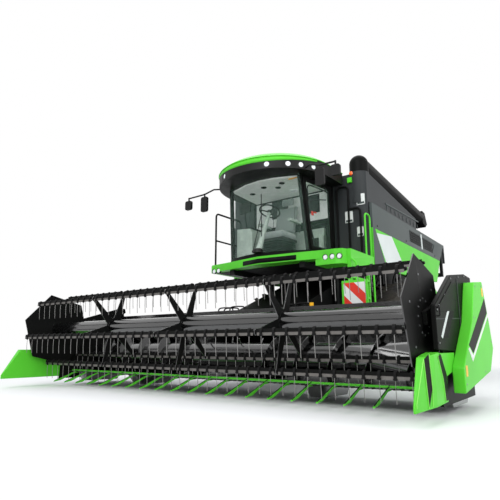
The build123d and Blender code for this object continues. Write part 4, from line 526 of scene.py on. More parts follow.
class Shape:
    """A mesh in the making, of one or more finishes."""

    def __init__(self, name: str, look: Look | None = None) -> None:
        """Starts an empty mesh.

        Args:
            name: the piece's name.
            look: the finish of its faces until paint() is called.
        """
        self.name = name
        self.looks = [look] if look else []
        self.mesh = bmesh.new()
        self.brush = 0

    def index(self, look: Look) -> int:
        """Gives a finish's place in the piece's list and adds it the first time.

        Args:
            look: the finish.

        Returns:
            Its place.
        """
        if look not in self.looks:
            self.looks.append(look)
        return self.looks.index(look)

    def paint(self, look: Look) -> "Shape":
        """Gives the faces made after this call a finish."""
        self.brush = self.index(look)
        return self

    def corners(self, points: Iterable[Sequence[float]]) -> list[Corner]:
        """Adds a corner at each point."""
        return [self.mesh.verts.new(point) for point in points]

    def face(self, corners: Iterable[Corner]) -> None:
        """Adds a face in the current finish; a corner that comes twice counts once."""
        face = self.mesh.faces.new(list(dict.fromkeys(corners)))
        face.material_index = self.brush

    def join(self, near: Sequence[Corner], far: Sequence[Corner], closed: bool = True) -> None:
        """Joins two rows of corners by faces.

        Args:
            near, far: the rows.
            closed: joins their last corners to their first.
        """
        for i in range(len(near) if closed else len(near) - 1):
            j = (i + 1) % len(near)
            self.face((near[i], near[j], far[j], far[i]))

    def prism(self, outline: Sequence[Point], reach: Sequence[float]) -> None:
        """Adds a solid from a flat outline pushed along a way.

        Args:
            outline: its corners.
            reach: the way and how far.
        """
        near = self.corners(outline)
        far = self.corners(Vector(point) + Vector(reach) for point in outline)
        self.face(near[::-1])
        self.face(far)
        self.join(near, far)

    def plate(self, outline: Sequence[Flat], low: float, high: float, across: str = "X") -> None:
        """Adds a plate whose outline lies across an axis.

        Args:
            outline: the two other coordinates of each corner, in axis order.
            low: where the plate starts along the axis.
            high: where it ends.
            across: the axis.
        """
        k = "XYZ".index(across)
        reach = [0.0, 0.0, 0.0]
        reach[k] = high - low
        self.prism([(*corner[:k], low, *corner[k:]) for corner in outline], reach)

    def box(self, low: Point, high: Point) -> None:
        """Adds a box between two corners."""
        outline = [(low[0], low[1]), (high[0], low[1]), (high[0], high[1]), (low[0], high[1])]
        self.plate(outline, low[2], high[2], "Z")

    def sweep(self, path: Sequence[Vector], radii: Sequence[float], sides: int) -> None:
        """Sweeps a circle along a path and closes its ends.

        Args:
            path: the circle's centres.
            radii: its radius at each of them.
            sides: its corners.
        """
        side = (path[1] - path[0]).orthogonal().normalized()
        turns = [math.tau * k / sides for k in range(sides)]
        rings = []
        for i, (point, radius) in enumerate(zip(path, radii)):
            along = (path[min(i + 1, len(path) - 1)] - path[max(i - 1, 0)]).normalized()
            side = (side - along * side.dot(along)).normalized()
            up = along.cross(side)
            rings.append(self.corners(point + (side * math.cos(a) + up * math.sin(a)) * radius for a in turns))
        self.face(rings[0][::-1])
        for near, far in zip(rings, rings[1:]):
            self.join(near, far)
        self.face(rings[-1])

    def tube(self, start: Point, end: Point, radius: float, sides: int = 16, far_radius: float | None = None) -> None:
        """Adds a round bar between two points, or a cone where its far radius is another."""
        self.sweep([Vector(start), Vector(end)], [radius, radius if far_radius is None else far_radius], sides)

    def pipe(self, points: Sequence[Point], radius: float, sides: int = 10, bend: float = 0.05) -> None:
        """Adds a round pipe along points, with rounded bends."""
        path = rounded(points, bend)
        self.sweep(path, [radius] * len(path), sides)

    def lathe(self, centre: Point, profile: Sequence[Flat], sides: int = 48, axis: Point = (1, 0, 0),
              closed: bool = False) -> None:
        """Turns a profile round an axis, with a single corner where it meets the axis.

        Args:
            centre: a point on the axis.
            profile: (along the axis, radius) of each point.
            sides: steps round the axis.
            axis: the axis's direction.
            closed: joins the last point to the first.
        """
        centre, along = Vector(centre), Vector(axis).normalized()
        side = along.orthogonal().normalized()
        up = along.cross(side)
        poles = {a: self.mesh.verts.new(centre + along * a) for a, r in profile if r == 0}
        rings = []
        for turn in (math.tau * i / sides for i in range(sides)):
            out = side * math.cos(turn) + up * math.sin(turn)
            rings.append([poles[a] if r == 0 else self.mesh.verts.new(centre + along * a + out * r)
                          for a, r in profile])
        for near, far in zip(rings, rings[1:] + rings[:1]):
            self.join(far, near, closed)

    def boxes(self, rows: Sequence[tuple[Look, Point, Point]]) -> None:
        """Adds boxes, each with its finish and two corners."""
        for look, low, high in rows:
            self.paint(look).box(low, high)

    def layers(self, rows: Sequence[tuple[Look, Sequence[Flat], float]], x: float, y: float = 0.0,
               z: float = 0.0) -> None:
        """Adds plates on a face across X.

        Args:
            rows: the finish, the outline and the thickness of each.
            x: where the face lies.
            y, z: where the outlines' own zero lies.
        """
        for look, outline, thick in rows:
            self.paint(look).plate([(y + back, z + up) for back, up in outline], x, x + thick)

    def bolts(self, places: Sequence[Flat], start: float, end: float, radius: float, sides: int = 6) -> None:
        """Adds a bolt along X at each place."""
        for y, z in places:
            self.tube((start, y, z), (end, y, z), radius, sides)

    def sheet(self, rows: Sequence[Sequence[Point]]) -> None:
        """Adds an open grid of faces.

        Args:
            rows: rows of points, equally long.
        """
        grid = [self.corners(row) for row in rows]
        for near, far in zip(grid, grid[1:]):
            self.join(near, far, closed=False)

    def take(self, node: str, ends: Look | None = None) -> "Shape":
        """Adds a merged copy of a node's own solid, with its flat faces whole.

        Args:
            node: the node.
            ends: the finish of the faces that look sideways, where it differs.

        Returns:
            The shape itself.
        """
        copy = bmesh.new()
        copy.from_mesh(frame["nodes"][node].data)
        bmesh.ops.remove_doubles(copy, verts=copy.verts, dist=1e-5)
        bmesh.ops.dissolve_limit(copy, angle_limit=math.radians(0.6), verts=copy.verts, edges=copy.edges)
        sideways = self.index(ends) if ends else self.brush
        for face in copy.faces:
            face.material_index = sideways if abs(face.normal.x) > 0.9 else self.brush
        spare = bpy.data.meshes.new("spare")
        copy.to_mesh(spare)
        copy.free()
        self.mesh.from_mesh(spare)
        bpy.data.meshes.remove(spare)
        return self

    def draft(self, mend: bool = True) -> bpy.types.Object:
        """Turns the mesh into a loose object.

        Args:
            mend: turns every face outwards first.

        Returns:
            The object.
        """
        if mend:
            bmesh.ops.recalc_face_normals(self.mesh, faces=self.mesh.faces)
        data = bpy.data.meshes.new(self.name)
        self.mesh.to_mesh(data)
        self.mesh.free()
        for look in self.looks:
            data.materials.append(look.material())
        return stand(self.name, data)

    def done(self, node: str, slot: str | None = None, bevel: float = 0.0, steps: int = 2, smooth: float = 40.0,
             thick: float = 0.0, mend: bool = True, replaces: bool = False) -> None:
        """Turns the mesh into a piece that rides on a node's body.

        Args:
            node: the node.
            slot: the record's material slot, where it isn't the node's own.
            bevel: the radius of its edges, or 0 for sharp ones.
            steps: faces across a rounded edge.
            smooth: the angle in degrees under which faces shade as one.
            thick: the thickness that an open sheet gets.
            mend: turns every face outwards first.
            replaces: stands in the plain node's place.
        """
        piece = self.draft(mend)
        for polygon in piece.data.polygons:
            polygon.use_smooth = True
        piece.data.set_sharp_from_angle(angle=math.radians(smooth))
        if thick:
            wall = piece.modifiers.new("wall", "SOLIDIFY")
            wall.thickness, wall.offset = thick, 0
        if bevel:
            edge = piece.modifiers.new("edge", "BEVEL")
            edge.width, edge.segments = bevel, steps
            edge.limit_method, edge.angle_limit = "ANGLE", SHARP_EDGE
        ride_slot(piece, node, slot)
        if replaces:
            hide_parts(node)


def rounded(points: Sequence[Point], bend: float, steps: int = 6) -> list[Vector]:
    """Rounds the corners of a run of points.

    Args:
        points: the corners.
        bend: the length that a bend takes from each run.
        steps: points on each bend.

    Returns:
        The rounded run.
    """
    corners = [Vector(point) for point in points]
    path = [corners[0]]
    for before, corner, after in zip(corners, corners[1:], corners[2:]):
        back, on = before - corner, after - corner
        cut = min(bend, back.length * 0.45, on.length * 0.45)
        start, end = corner + back.normalized() * cut, corner + on.normalized() * cut
        for i in range(steps + 1):
            t = i / steps
            path.append(start * (1 - t) ** 2 + corner * 2 * t * (1 - t) + end * t ** 2)
    path.append(corners[-1])
    return path


def ring(middle: Flat, radius: float, count: int, start: float = 0.0) -> list[Flat]:
    """Gives points set out evenly on a circle, the first at an angle in radians."""
    turns = (start + math.tau * i / count for i in range(count))
    return [(middle[0] + radius * math.cos(turn), middle[1] + radius * math.sin(turn)) for turn in turns]


def strike(node: str, start: Sequence[float], way: Sequence[float]) -> tuple[Vector | None, Vector | None]:
    """Finds where a straight line first meets a node's solid.

    Args:
        node: the node.
        start: where the line starts.
        way: its direction.

    Returns:
        The place and the normal there, or two times None.
    """
    data = frame["nodes"][node].data
    corners = [vertex.co for vertex in data.vertices]
    solid = BVHTree.FromPolygons(corners, [tuple(face.vertices) for face in data.polygons])
    return solid.ray_cast(Vector(start), Vector(way))[:2]


def refine(node: str, look: Look, bevel: float, ends: Look | None = None) -> None:
    """Stands a copy with rounded edges in a node's place.

    Args:
        node: the node.
        look: its finish.
        bevel: the radius of its edges.
        ends: the finish of the faces that look sideways, where it differs.
    """
    shape = Shape(f"{node}_skin", look).take(node, ends)
    shape.done(node, bevel=bevel, mend=False, replaces=True)


class Row:
    """Rows of one small shape, set out by a node tree and baked into one mesh for each body."""

    @staticmethod
    def tree() -> bpy.types.NodeTree:
        """Gives the node tree that sets out a row and builds it the first time.

        Returns:
            The node tree.
        """
        found = bpy.data.node_groups.get("row of pieces")
        if found:
            return found
        group = bpy.data.node_groups.new("row of pieces", "GeometryNodeTree")
        kinds = {"Unit": "Object", "Finish": "Material", "Count": "Int", "Start": "Vector", "Step": "Vector",
                 "Lean": "Float", "Seed": "Int"}
        for label, kind in kinds.items():
            group.interface.new_socket(label, in_out="INPUT", socket_type=f"NodeSocket{kind}")
        group.interface.new_socket("Geometry", in_out="OUTPUT", socket_type="NodeSocketGeometry")
        tree = Tree(group)
        given = tree.add("NodeGroupInput").outputs
        line = tree.add("GeometryNodeMeshLine", {"Count": given["Count"], "Start Location": given["Start"],
                                                 "Offset": given["Step"]}, mode="OFFSET")
        unit = tree.add("GeometryNodeObjectInfo", {"Object": given["Unit"]})
        chance = tree.add("FunctionNodeRandomValue", {2: tree.math("MULTIPLY", given["Lean"], -1.0), 3: given["Lean"],
                                                      "Seed": given["Seed"]}, data_type="FLOAT")
        turn = tree.add("ShaderNodeCombineXYZ", {"Y": chance.outputs[1]})
        placed = tree.add("GeometryNodeInstanceOnPoints", {"Points": line.outputs[0], "Rotation": turn.outputs[0],
                                                           "Instance": unit.outputs["Geometry"]})
        real = tree.add("GeometryNodeRealizeInstances", {0: placed.outputs[0]})
        paint = tree.add("GeometryNodeSetMaterial", {"Geometry": real.outputs[0], "Material": given["Finish"]})
        tree.add("NodeGroupOutput", {"Geometry": paint.outputs[0]})
        return group

    @classmethod
    def lay(cls, name: str, unit: Shape, count: int, start: Point, step: float, node: str, slot: str,
            lean: float = 0.0, seed: int = 1) -> None:
        """Lays a row of a shape from the machine's right to its left.

        Args:
            name: the row's name.
            unit: the shape, drawn round the origin in its first finish.
            count: how many stand in the row.
            start: the place of the first.
            step: the way from one to the next.
            node: the node whose body it rides on.
            slot: the record's material slot.
            lean: how far each may lean sideways, in radians.
            seed: picks the leans.
        """
        look = unit.looks[0].material()
        model = unit.draft()
        piece = stand(name, bpy.data.meshes.new(name))
        rule = piece.modifiers.new("row", "NODES")
        rule.node_group = cls.tree()
        given = {"Unit": model, "Finish": look, "Count": count, "Start": start, "Step": (step, 0, 0), "Lean": lean,
                 "Seed": seed}
        for socket in rule.node_group.interface.items_tree:
            if socket.in_out == "INPUT":
                rule[socket.identifier] = given[socket.name]
        bake(piece)
        bpy.data.objects.remove(model)
        ride_slot(piece, node, slot)


@dataclass
class SideDoor:
    """The grey and green side doors: the silver stripe, the dark wedge, the louvres and the bolts."""

    side: int = 1
    face: float = 1.490
    thick: float = 0.002
    wedge: Sequence[Flat] = ((-1.648, 2.598), (-1.56, 2.598), (-1.10, 1.955), (-1.648, 1.912))
    stripe: Sequence[Flat] = ((-1.505, 2.526), (-0.787, 2.598), (-0.228, 2.131), (-1.063, 1.983))
    louvre_rows: Sequence[Flat] = ((0.25, 0.93), (1.11, 1.80))
    louvre_z: Flat = (2.70, 2.93)
    slats: int = 5

    def dress(self) -> None:
        """Lays the stripe and the wedge on the lower door and the louvres on the upper one."""
        name = "left" if self.side > 0 else "right"
        lower, upper = f"side_door_{name}_lower", f"side_door_{name}_upper"
        out = self.side * self.face
        paint = Shape(f"{lower}_stripes")
        paint.paint(Look.PANEL).plate(self.wedge, out, out + self.side * self.thick)
        paint.paint(Look.SILVER).plate(self.stripe, out, out + self.side * 1.4 * self.thick)
        paint.done(lower)
        trim = Shape(f"{upper}_trim")
        low_z, high_z = self.louvre_z
        step = (high_z - low_z) / self.slats
        for start, end in self.louvre_rows:
            trim.paint(Look.BLACK).box((out, start, low_z), (out + self.side * 0.0015, end, high_z))
            for z in (low_z + (i + 0.5) * step for i in range(self.slats)):
                foot, edge = start + 0.02, z - 0.12 * step
                trim.paint(Look.PANEL).prism([(out, foot, edge), (out, foot, z + 0.12 * step),
                                              (out + self.side * 0.009, foot, edge)], (0, end - start - 0.04, 0))
        middle = (self.louvre_rows[0][1] + self.louvre_rows[1][0]) / 2
        trim.paint(Look.SILVER).plate([(middle - 0.035, 2.66), (middle + 0.035, 2.66), (middle + 0.02, 2.98),
                                       (middle - 0.05, 2.98)], out, out + self.side * 0.006)
        bolt = [(-0.002, 0), (-0.002, 0.016), (0.004, 0.016), (0.006, 0.011), (0.006, 0)]
        for y in (-1.45, 0.02, 1.95, 2.60):
            trim.paint(Look.BLACK).lathe((out, y, 2.66), bolt, 20, (self.side, 0, 0))
        trim.done(upper)


@dataclass
class TankTrim:
    """Small pieces on the front and sides of the grain tank."""

    front: float = -1.70
    side: float = 1.435
    plates: Sequence[tuple[float, float, float, float]] = (
        (1.243, 3.014, 1.393, 3.208), (1.020, 2.730, 1.165, 2.934), (1.229, 2.462, 1.346, 2.632))

    def dress(self) -> None:
        """Fixes the plates, the reflector, the green box and the ribs of the side."""
        front = Shape("tank_front_trim")
        y, forwards = self.front, (0, -1, 0)
        inset, bolt_inset = 0.012, 0.009
        for low_x, low_z, high_x, high_z in self.plates:
            front.paint(Look.WHITE).box((low_x, y - 0.002, low_z), (high_x, y, high_z))
            front.paint(Look.PANEL).box((low_x + inset, y - 0.003, low_z + inset),
                                        (high_x - inset, y - 0.001, low_z + 0.05))
            for x in (low_x + bolt_inset, high_x - bolt_inset):
                for z in (low_z + bolt_inset, high_z - bolt_inset):
                    front.paint(Look.BLACK).lathe((x, y - 0.002, z), [(0, 0.005), (0.003, 0.005), (0.004, 0)], 10,
                                                  forwards)
        reflector = [(0, 0), (0, 0.036), (0.010, 0.036), (0.016, 0.028), (0.017, 0)]
        front.paint(Look.AMBER).lathe((1.165, y, 3.61), reflector, 28, forwards)
        front.paint(Look.GREEN).box((1.10, y - 0.035, 3.44), (1.18, y, 3.53))
        for x in (0.55, 0.80):
            front.paint(Look.PANEL).box((x, y - 0.006, 2.20), (x + 0.03, y, 3.55))
        front.done("grain_tank", bevel=0.0015, steps=1)
        side = Shape("tank_side_trim", Look.PANEL)
        for hand in (1, -1):
            wall, rim = hand * self.side, hand * (self.side + 0.012)
            side.prism([(wall, -0.85, 3.20), (wall, -0.85, 3.235), (rim, -0.85, 3.23), (rim, -0.85, 3.205)],
                       (0, 1.90, 0.06))
            for y in (-0.80 + i * 0.22 for i in range(9)):
                side.box((wall, y, 3.10), (wall + hand * 0.008, y + 0.02, 3.20))
        side.done("grain_tank", bevel=0.002, steps=1)


@dataclass
class Lamp:
    """A round work lamp: black housing, chromed bowl, bulb and clear lens."""

    radius: float = 0.05
    depth: float = 0.06

    def build(self, shape: Shape, back: Point, forward: Point) -> None:
        """Adds the lamp to a shape of black plastic, chrome, white and lens.

        Args:
            shape: the piece that takes the lamp.
            back: the middle of the lamp's back.
            forward: the way it shines.
        """
        # steps round the axis, then shares of the depth and the radius
        profiles = {
            Look.PLASTIC: (32, ((0, 0), (0, 0.55), (0.35, 0.92), (0.88, 1), (1, 1), (1, 0.86), (0.8, 0.84))),
            Look.CHROME: (32, ((0.84, 0.85), (0.55, 0.62), (0.35, 0.32), (0.30, 0))),
            Look.WHITE: (14, ((0.30, 0.16), (0.60, 0.16), (0.66, 0))),
            Look.LENS: (32, ((0.86, 0.86), (0.93, 0.70), (0.96, 0.40), (0.97, 0))),
        }
        for look, (sides, profile) in profiles.items():
            outline = [(a * self.depth, r * self.radius) for a, r in profile]
            shape.paint(look).lathe(back, outline, sides, forward)


@dataclass
class Lamps:
    """All lamps: round ones in the roof's visor and on the platform, a beacon and the rear ones."""

    turns: Sequence[float] = (-49, -27, 24, 43, 55, 68, 79)
    ring: float = 1.0358
    middle_y: float = -2.28
    roof_z: float = 3.475
    backs: Sequence[Point] = ((1.140, -2.665, 1.965), (1.250, -2.655, 1.965), (1.360, -2.640, 1.965),
                              (-1.130, -2.620, 1.965), (-1.010, -2.640, 1.965))
    beacon: Point = (0.06, -2.84, 3.775)

    def dress(self) -> None:
        """Builds every lamp in place of the plain ones."""
        shape = Shape("lamps_round")
        lamp, small = Lamp(0.05, 0.06), Lamp(0.045, 0.06)
        for turn in map(math.radians, self.turns):
            way = Vector((math.sin(turn), -math.cos(turn), 0))
            lamp.build(shape, Vector((0, self.middle_y, self.roof_z)) + way * (self.ring - lamp.depth), way)
        for place in self.backs:
            small.build(shape, place, (0, -1, 0))
        shape.done("lamps", smooth=30, mend=False, replaces=True)
        beacon = Shape("lamps_beacon")
        plinth = [(0, 0), (0, 0.054), (0.026, 0.053), (0.032, 0.044), (0.042, 0.043), (0.044, 0.041)]
        dome = [(0.042, 0.0415), (0.05, 0.0412), (0.06, 0.039), (0.068, 0.034), (0.077, 0.024), (0.083, 0.012),
                (0.084, 0)]
        beacon.paint(Look.PLASTIC).lathe(self.beacon, plinth, 32, (0, 0, 1))
        beacon.paint(Look.AMBER).lathe(self.beacon, dome, 32, (0, 0, 1))
        beacon.done("lamps", smooth=50, mend=False)
        tail = Shape("lamps_rear")
        for start in (1.24, -1.38):
            tail.paint(Look.PLASTIC).box((start, 3.15, 2.88), (start + 0.14, 3.185, 3.04))
            tail.paint(Look.TAIL).box((start + 0.008, 3.18, 2.888), (start + 0.067, 3.205, 3.032))
            tail.paint(Look.AMBER).box((start + 0.073, 3.18, 2.888), (start + 0.132, 3.205, 3.032))
        tail.done("lamps", bevel=0.004)


@dataclass
class Seat:
    """The driver's seat on its bellows, with a cushion, a back, a headrest and two armrests."""

    inset: float = 0.018
    puff: float = 0.022
    voxel: float = 0.006
    pressure: float = 4.0
    frames: int = 20
    bellows: Flat = (2.19, 0.034)
    folds: int = 7

    def cushion(self, name: str, low: Point, high: Point, lean: float = 0.0) -> None:
        """Makes a stuffed pad whose cloth is blown up by a short simulation.

        Args:
            name: the pad's name.
            low, high: corners of the room that it may fill.
            lean: how far its top lies behind its foot.
        """
        shape = Shape(name, Look.SEAT)
        (x0, y0, z0), (x1, y1, z1) = (tuple(value + side * self.inset for value in corner)
                                      for corner, side in ((low, 1), (high, -1)))
        shape.prism([(x0, y0, z0), (x1, y0, z0), (x1, y1, z0), (x0, y1, z0)], (0, lean, z1 - z0))
        pad = shape.draft()
        edge = pad.modifiers.new("edge", "BEVEL")
        edge.width, edge.segments = 0.022, 3
        grid = pad.modifiers.new("grid", "REMESH")
        grid.mode, grid.voxel_size = "VOXEL", self.voxel
        bake(pad)
        self.inflate(pad, low, (high[0], high[1] + lean, high[2]))
        for polygon in pad.data.polygons:
            polygon.use_smooth = True
        pad.data.materials.clear()
        pad.data.materials.append(Look.SEAT.material())
        ride_slot(pad, "seat")

    def inflate(self, pad: bpy.types.Object, low: Point, high: Point) -> None:
        """Blows a pad up, holds its points near where they were and smooths it.

        Args:
            pad: the pad.
            low, high: corners of the room that no point may leave.
        """
        still = [vertex.co.copy() for vertex in pad.data.vertices]
        cloth = pad.modifiers.new("cloth", "CLOTH")
        cloth.settings.quality = 5
        cloth.settings.use_pressure = True
        cloth.settings.uniform_pressure_force = self.pressure
        cloth.settings.effector_weights.gravity = 0.0
        cloth.point_cache.frame_start, cloth.point_cache.frame_end = 1, self.frames
        for step in range(1, self.frames + 1):
            bpy.context.scene.frame_set(step)
        bake(pad)
        bpy.context.scene.frame_set(1)
        for vertex, place in zip(pad.data.vertices, still):
            move = vertex.co - place
            if move.length > self.puff:
                vertex.co = place + move.normalized() * self.puff
            vertex.co = [min(max(value, a), b) for value, a, b in zip(vertex.co, low, high)]
        finer = pad.modifiers.new("finer", "SUBSURF")
        finer.levels = finer.render_levels = 1
        bake(pad)

    def dress(self) -> None:
        """Builds the seat in place of the plain one."""
        self.cushion("seat_cushion", (-0.26, -2.52, 2.47), (0.26, -2.02, 2.59))
        self.cushion("seat_back", (-0.24, -2.115, 2.59), (0.24, -2.015, 3.15), lean=0.125)
        self.cushion("seat_headrest", (-0.14, -1.985, 3.152), (0.14, -1.895, 3.325), lean=0.015)
        base = Shape("seat_base", Look.SEAL)
        start, rise = self.bellows
        rings = [(start + i * rise / 2, 0.215 if i % 2 else 0.185) for i in range(2 * self.folds)]
        for fold in zip(rings, rings[1:]):
            for sx, sy in ((1, 0), (0, 1), (-1, 0), (0, -1)):
                base.sheet([[(r * (sx - sy * end), -2.25 + r * (sy + sx * end), z) for end in (-1, 1)]
                            for z, r in fold])
        base.paint(Look.PLASTIC).box((-0.20, -2.45, 2.14), (0.20, -2.05, 2.19))
        base.box((-0.24, -2.48, 2.42), (0.24, -2.03, 2.47))
        for low in (0.28, -0.35):
            base.paint(Look.CONSOLE).box((low, -2.40, 2.742), (low + 0.07, -2.06, 2.788))
            base.paint(Look.PLASTIC).box((low + 0.02, -2.10, 2.60), (low + 0.05, -2.06, 2.742))
        base.done("seat", bevel=0.006, mend=False, replaces=True)
        piping = Shape("seat_piping", Look.SEAL)
        for x in (-0.225, 0.225):
            piping.pipe([(x, -2.105, 2.64), (x, -2.055, 3.10)], 0.004, 8)
        piping.done("seat")


@dataclass
class Cab:
    """The cab's inside and trim: lining, vents, consoles, screen, wheel, wipers and door frame."""

    floor_z: float = 2.14
    ceiling_z: float = 3.392
    wheel_middle: Point = (0.0, -2.53, 2.93)
    wheel_radius: float = 0.19
    wheel_axis: Point = (0.0, 0.45, 1.0)
    # the left side's front edge at the floor, its lean over the whole height, and its rear edge
    front_foot: Flat = (0.80, -2.60)
    front_lean: Flat = (0.065, 0.13)
    rear_edge: Flat = (0.85, -1.78)
    glass_top: float = 3.40
    visor_radius: float = 1.0405
    visor_top: float = 3.598

    def ceiling(self) -> None:
        """Fits the pale lining under the roof with its vents, grab strip and lamp."""
        lining = Shape("cab_headliner", Look.LINING)
        top, low = self.ceiling_z, self.ceiling_z - 0.03
        lining.plate([(-0.70, -2.68), (-0.30, -2.83), (0.0, -2.87), (0.30, -2.83), (0.70, -2.68), (0.78, -1.84),
                      (-0.78, -1.84)], low, top, "Z")
        vent = [(-0.001, 0), (-0.001, 0.052), (0.008, 0.052), (0.012, 0.044), (0.005, 0.04), (0.005, 0)]
        for x, y in ((0.125, -2.446), (-0.075, -2.596), (0.62, -2.432), (-0.45, -2.42), (0.30, -2.60)):
            lining.paint(Look.SEAL).lathe((x, y, low), vent, 28, (0, 0, -1))
            for slat in (y - 0.022, y, y + 0.022):
                lining.box((x - 0.038, slat - 0.003, low - 0.012), (x + 0.038, slat + 0.003, low - 0.004))
        lining.boxes([(Look.YELLOW, (0.50, -2.715, top - 0.045), (0.66, -2.685, top - 0.032)),
                      (Look.LENS, (0.20, -2.20, top - 0.042), (0.34, -2.12, top - 0.03))])
        lining.done("cab_frame", "black_plastic", bevel=0.006)

    def consoles(self) -> None:
        """Builds the side console, the rear wall and shelf, the screen on its stalk and the storage box."""
        inside = Shape("cab_consoles")
        inside.boxes([
            (Look.PLASTIC, (-0.70, -2.44, 2.712), (-0.46, -2.10, 2.735)),
            (Look.LINING, (-0.79, -1.83, 2.145), (0.79, -1.80, 3.36)),
            (Look.SEAL, (-0.42, -1.836, 3.00), (-0.06, -1.828, 3.34)),
            (Look.GREY, (-0.40, -1.838, 3.02), (-0.08, -1.833, 3.32)),
            (Look.SEAL, (0.30, -1.836, 2.98), (0.60, -1.828, 3.32)),
            (Look.GREY, (0.32, -1.838, 3.00), (0.58, -1.833, 3.30)),
            (Look.CONSOLE, (-0.70, -1.90, 2.145), (0.70, -1.832, 2.66)),
            (Look.CONSOLE, (0.40, -2.05, 2.145), (0.70, -1.862, 2.52)),
            (Look.SEAL, (0.42, -2.052, 2.26), (0.68, -2.046, 2.46)),
            (Look.RED, (0.685, -2.30, 2.80), (0.70, -2.24, 2.87)),
        ])
        for i, look in enumerate((Look.RED, Look.YELLOW, Look.SEAL, Look.RED, Look.YELLOW)):
            y = -2.41 + i * 0.06
            inside.paint(look).box((-0.66, y, 2.735), (-0.62, y + 0.03, 2.745))
        prisms = (
            # finish, outline, reach
            (Look.CONSOLE, [(-0.74, -2.50, 2.145), (-0.40, -2.50, 2.145), (-0.40, -2.50, 2.62), (-0.46, -2.50, 2.70),
                            (-0.74, -2.50, 2.72)], (0, 0.62, 0)),
            (Look.PLASTIC, [(-0.64, -2.555, 2.98), (-0.38, -2.60, 2.98), (-0.38, -2.615, 3.16), (-0.64, -2.57, 3.16)],
             (0.006, 0.034, 0)),
            (Look.GREY, [(-0.625, -2.5265, 2.995), (-0.375, -2.5695, 2.995), (-0.375, -2.5835, 3.145),
                         (-0.625, -2.5405, 3.145)], (0.0005, 0.003, 0)),
        )
        for look, outline, reach in prisms:
            inside.paint(look).prism(outline, reach)
        inside.paint(Look.SEAL).pipe([(-0.55, -2.46, 2.70), (-0.55, -2.52, 2.95), (-0.50, -2.56, 3.02)], 0.012)
        inside.done("cab_frame", "black_plastic", bevel=0.008)

    def wheel(self) -> None:
        """Builds the steering column, its boot and lever, and the wheel with three spokes."""
        shape = Shape("steering_wheel", Look.SEAL)
        middle, axis = Vector(self.wheel_middle), Vector(self.wheel_axis).normalized()
        side = Vector((1, 0, 0))
        up = axis.cross(side).normalized()
        thick, steps = 0.0125, 12
        rim = [(thick * math.sin(k), self.wheel_radius - 0.013 + thick * math.cos(k))
               for k in (math.tau * j / steps for j in range(steps))]
        shape.lathe(middle, rim, 56, axis, closed=True)
        for turn in map(math.radians, (90, 210, 330)):
            out = side * math.cos(turn) + up * math.sin(turn)
            shape.tube(middle - axis * 0.012 + out * 0.03, middle + out * (self.wheel_radius - 0.015), 0.012, 10,
                       0.009)
        hub = [(-0.04, 0), (-0.04, 0.03), (-0.01, 0.045), (0.008, 0.04), (0.012, 0)]
        shape.paint(Look.PLASTIC).lathe(middle, hub, 32, axis)
        foot = middle - axis * 0.04
        base = foot - axis * ((foot.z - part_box("steering_column")[0][2] - 0.02) / axis.z)
        shape.paint(Look.CONSOLE).tube(base, foot, 0.052, 20, 0.030)
        boot = [(-0.018, 0.0), (-0.018, 0.085), (0.02, 0.08), (0.05, 0.062)]
        shape.paint(Look.PLASTIC).lathe(base, boot, 24, (0, 0, 1))
        shape.paint(Look.SEAL).tube(foot - axis * 0.05 + side * 0.03, foot - axis * 0.02 + side * 0.15, 0.007, 8,
                                    0.010)
        shape.done("steering_column", smooth=45, replaces=True)

    def wiper(self) -> None:
        """Fits the wiper on the windscreen."""
        trim = Shape("cab_wipers")
        trim.paint(Look.PLASTIC).tube((-0.08, -2.885, 2.17), (-0.08, -2.915, 2.17), 0.02, 20)
        trim.paint(Look.SEAL).pipe([(-0.08, -2.912, 2.17), (0.02, -2.915, 2.50), (0.10, -2.916, 2.78)], 0.006, 8)
        trim.pipe([(0.10, -2.916, 2.40), (0.10, -2.918, 2.78), (0.10, -2.922, 3.12)], 0.007, 8)
        trim.done("cab_frame", "black_plastic")

    def side_points(self, places: Sequence[Flat], inwards: float) -> list[Point]:
        """Gives points on the left side of the cab, from its front edge to its rear one.

        Args:
            places: how far back each is, from 0 to 1, and its height.
            inwards: how far inside the glass they lie.

        Returns:
            The points.
        """
        points = []
        for share, z in places:
            rise = (z - self.floor_z) / (self.glass_top - self.floor_z)
            x, y = self.front_foot[0] - self.front_lean[0] * rise, self.front_foot[1] - self.front_lean[1] * rise
            points.append((x + (self.rear_edge[0] - x) * share - inwards, y + (self.rear_edge[1] - y) * share, z))
        return points

    def door(self) -> None:
        """Fits the door's inner frame, its handle and its grab rails."""
        trim = Shape("cab_door_trim", Look.SEAL)
        loop = [(0.30, 2.24), (0.88, 2.24), (0.90, 3.28), (0.22, 3.28), (0.18, 2.60), (0.30, 2.24)]
        trim.pipe(self.side_points(loop, 0.030), 0.012, 8, bend=0.12)
        trim.paint(Look.PLASTIC)
        trim.pipe(self.side_points([(0.24, 2.50), (0.24, 3.02), (0.84, 3.14)], 0.060), 0.010, 8, bend=0.16)
        trim.pipe(self.side_points([(0.26, 2.56), (0.55, 2.66), (0.86, 2.70)], 0.060), 0.008, 8)
        x, y, z = self.side_points([(0.46, 2.84)], 0.06)[0]
        trim.paint(Look.RED).box((x - 0.008, y - 0.026, z - 0.010), (x + 0.008, y + 0.026, z + 0.010))
        trim.done("cab_door", "black_plastic")

    def roof_edge(self) -> None:
        """Lays the green edge of the roof over the visor's upper rim."""
        band = Shape("roof_edge", Look.GREEN)
        low, high = [], []
        for i in range(49):
            turn = math.radians(-72 + i * 3)
            x, y = self.visor_radius * math.sin(turn), -2.28 - self.visor_radius * math.cos(turn)
            depth = 0.075 * max(0.0, 1 - ((i - 27) / 25) ** 2) + 0.004
            low.append((x, y, self.visor_top - depth))
            high.append((x, y, self.visor_top))
        band.sheet([low, high])
        band.done("cab_roof", thick=0.003)

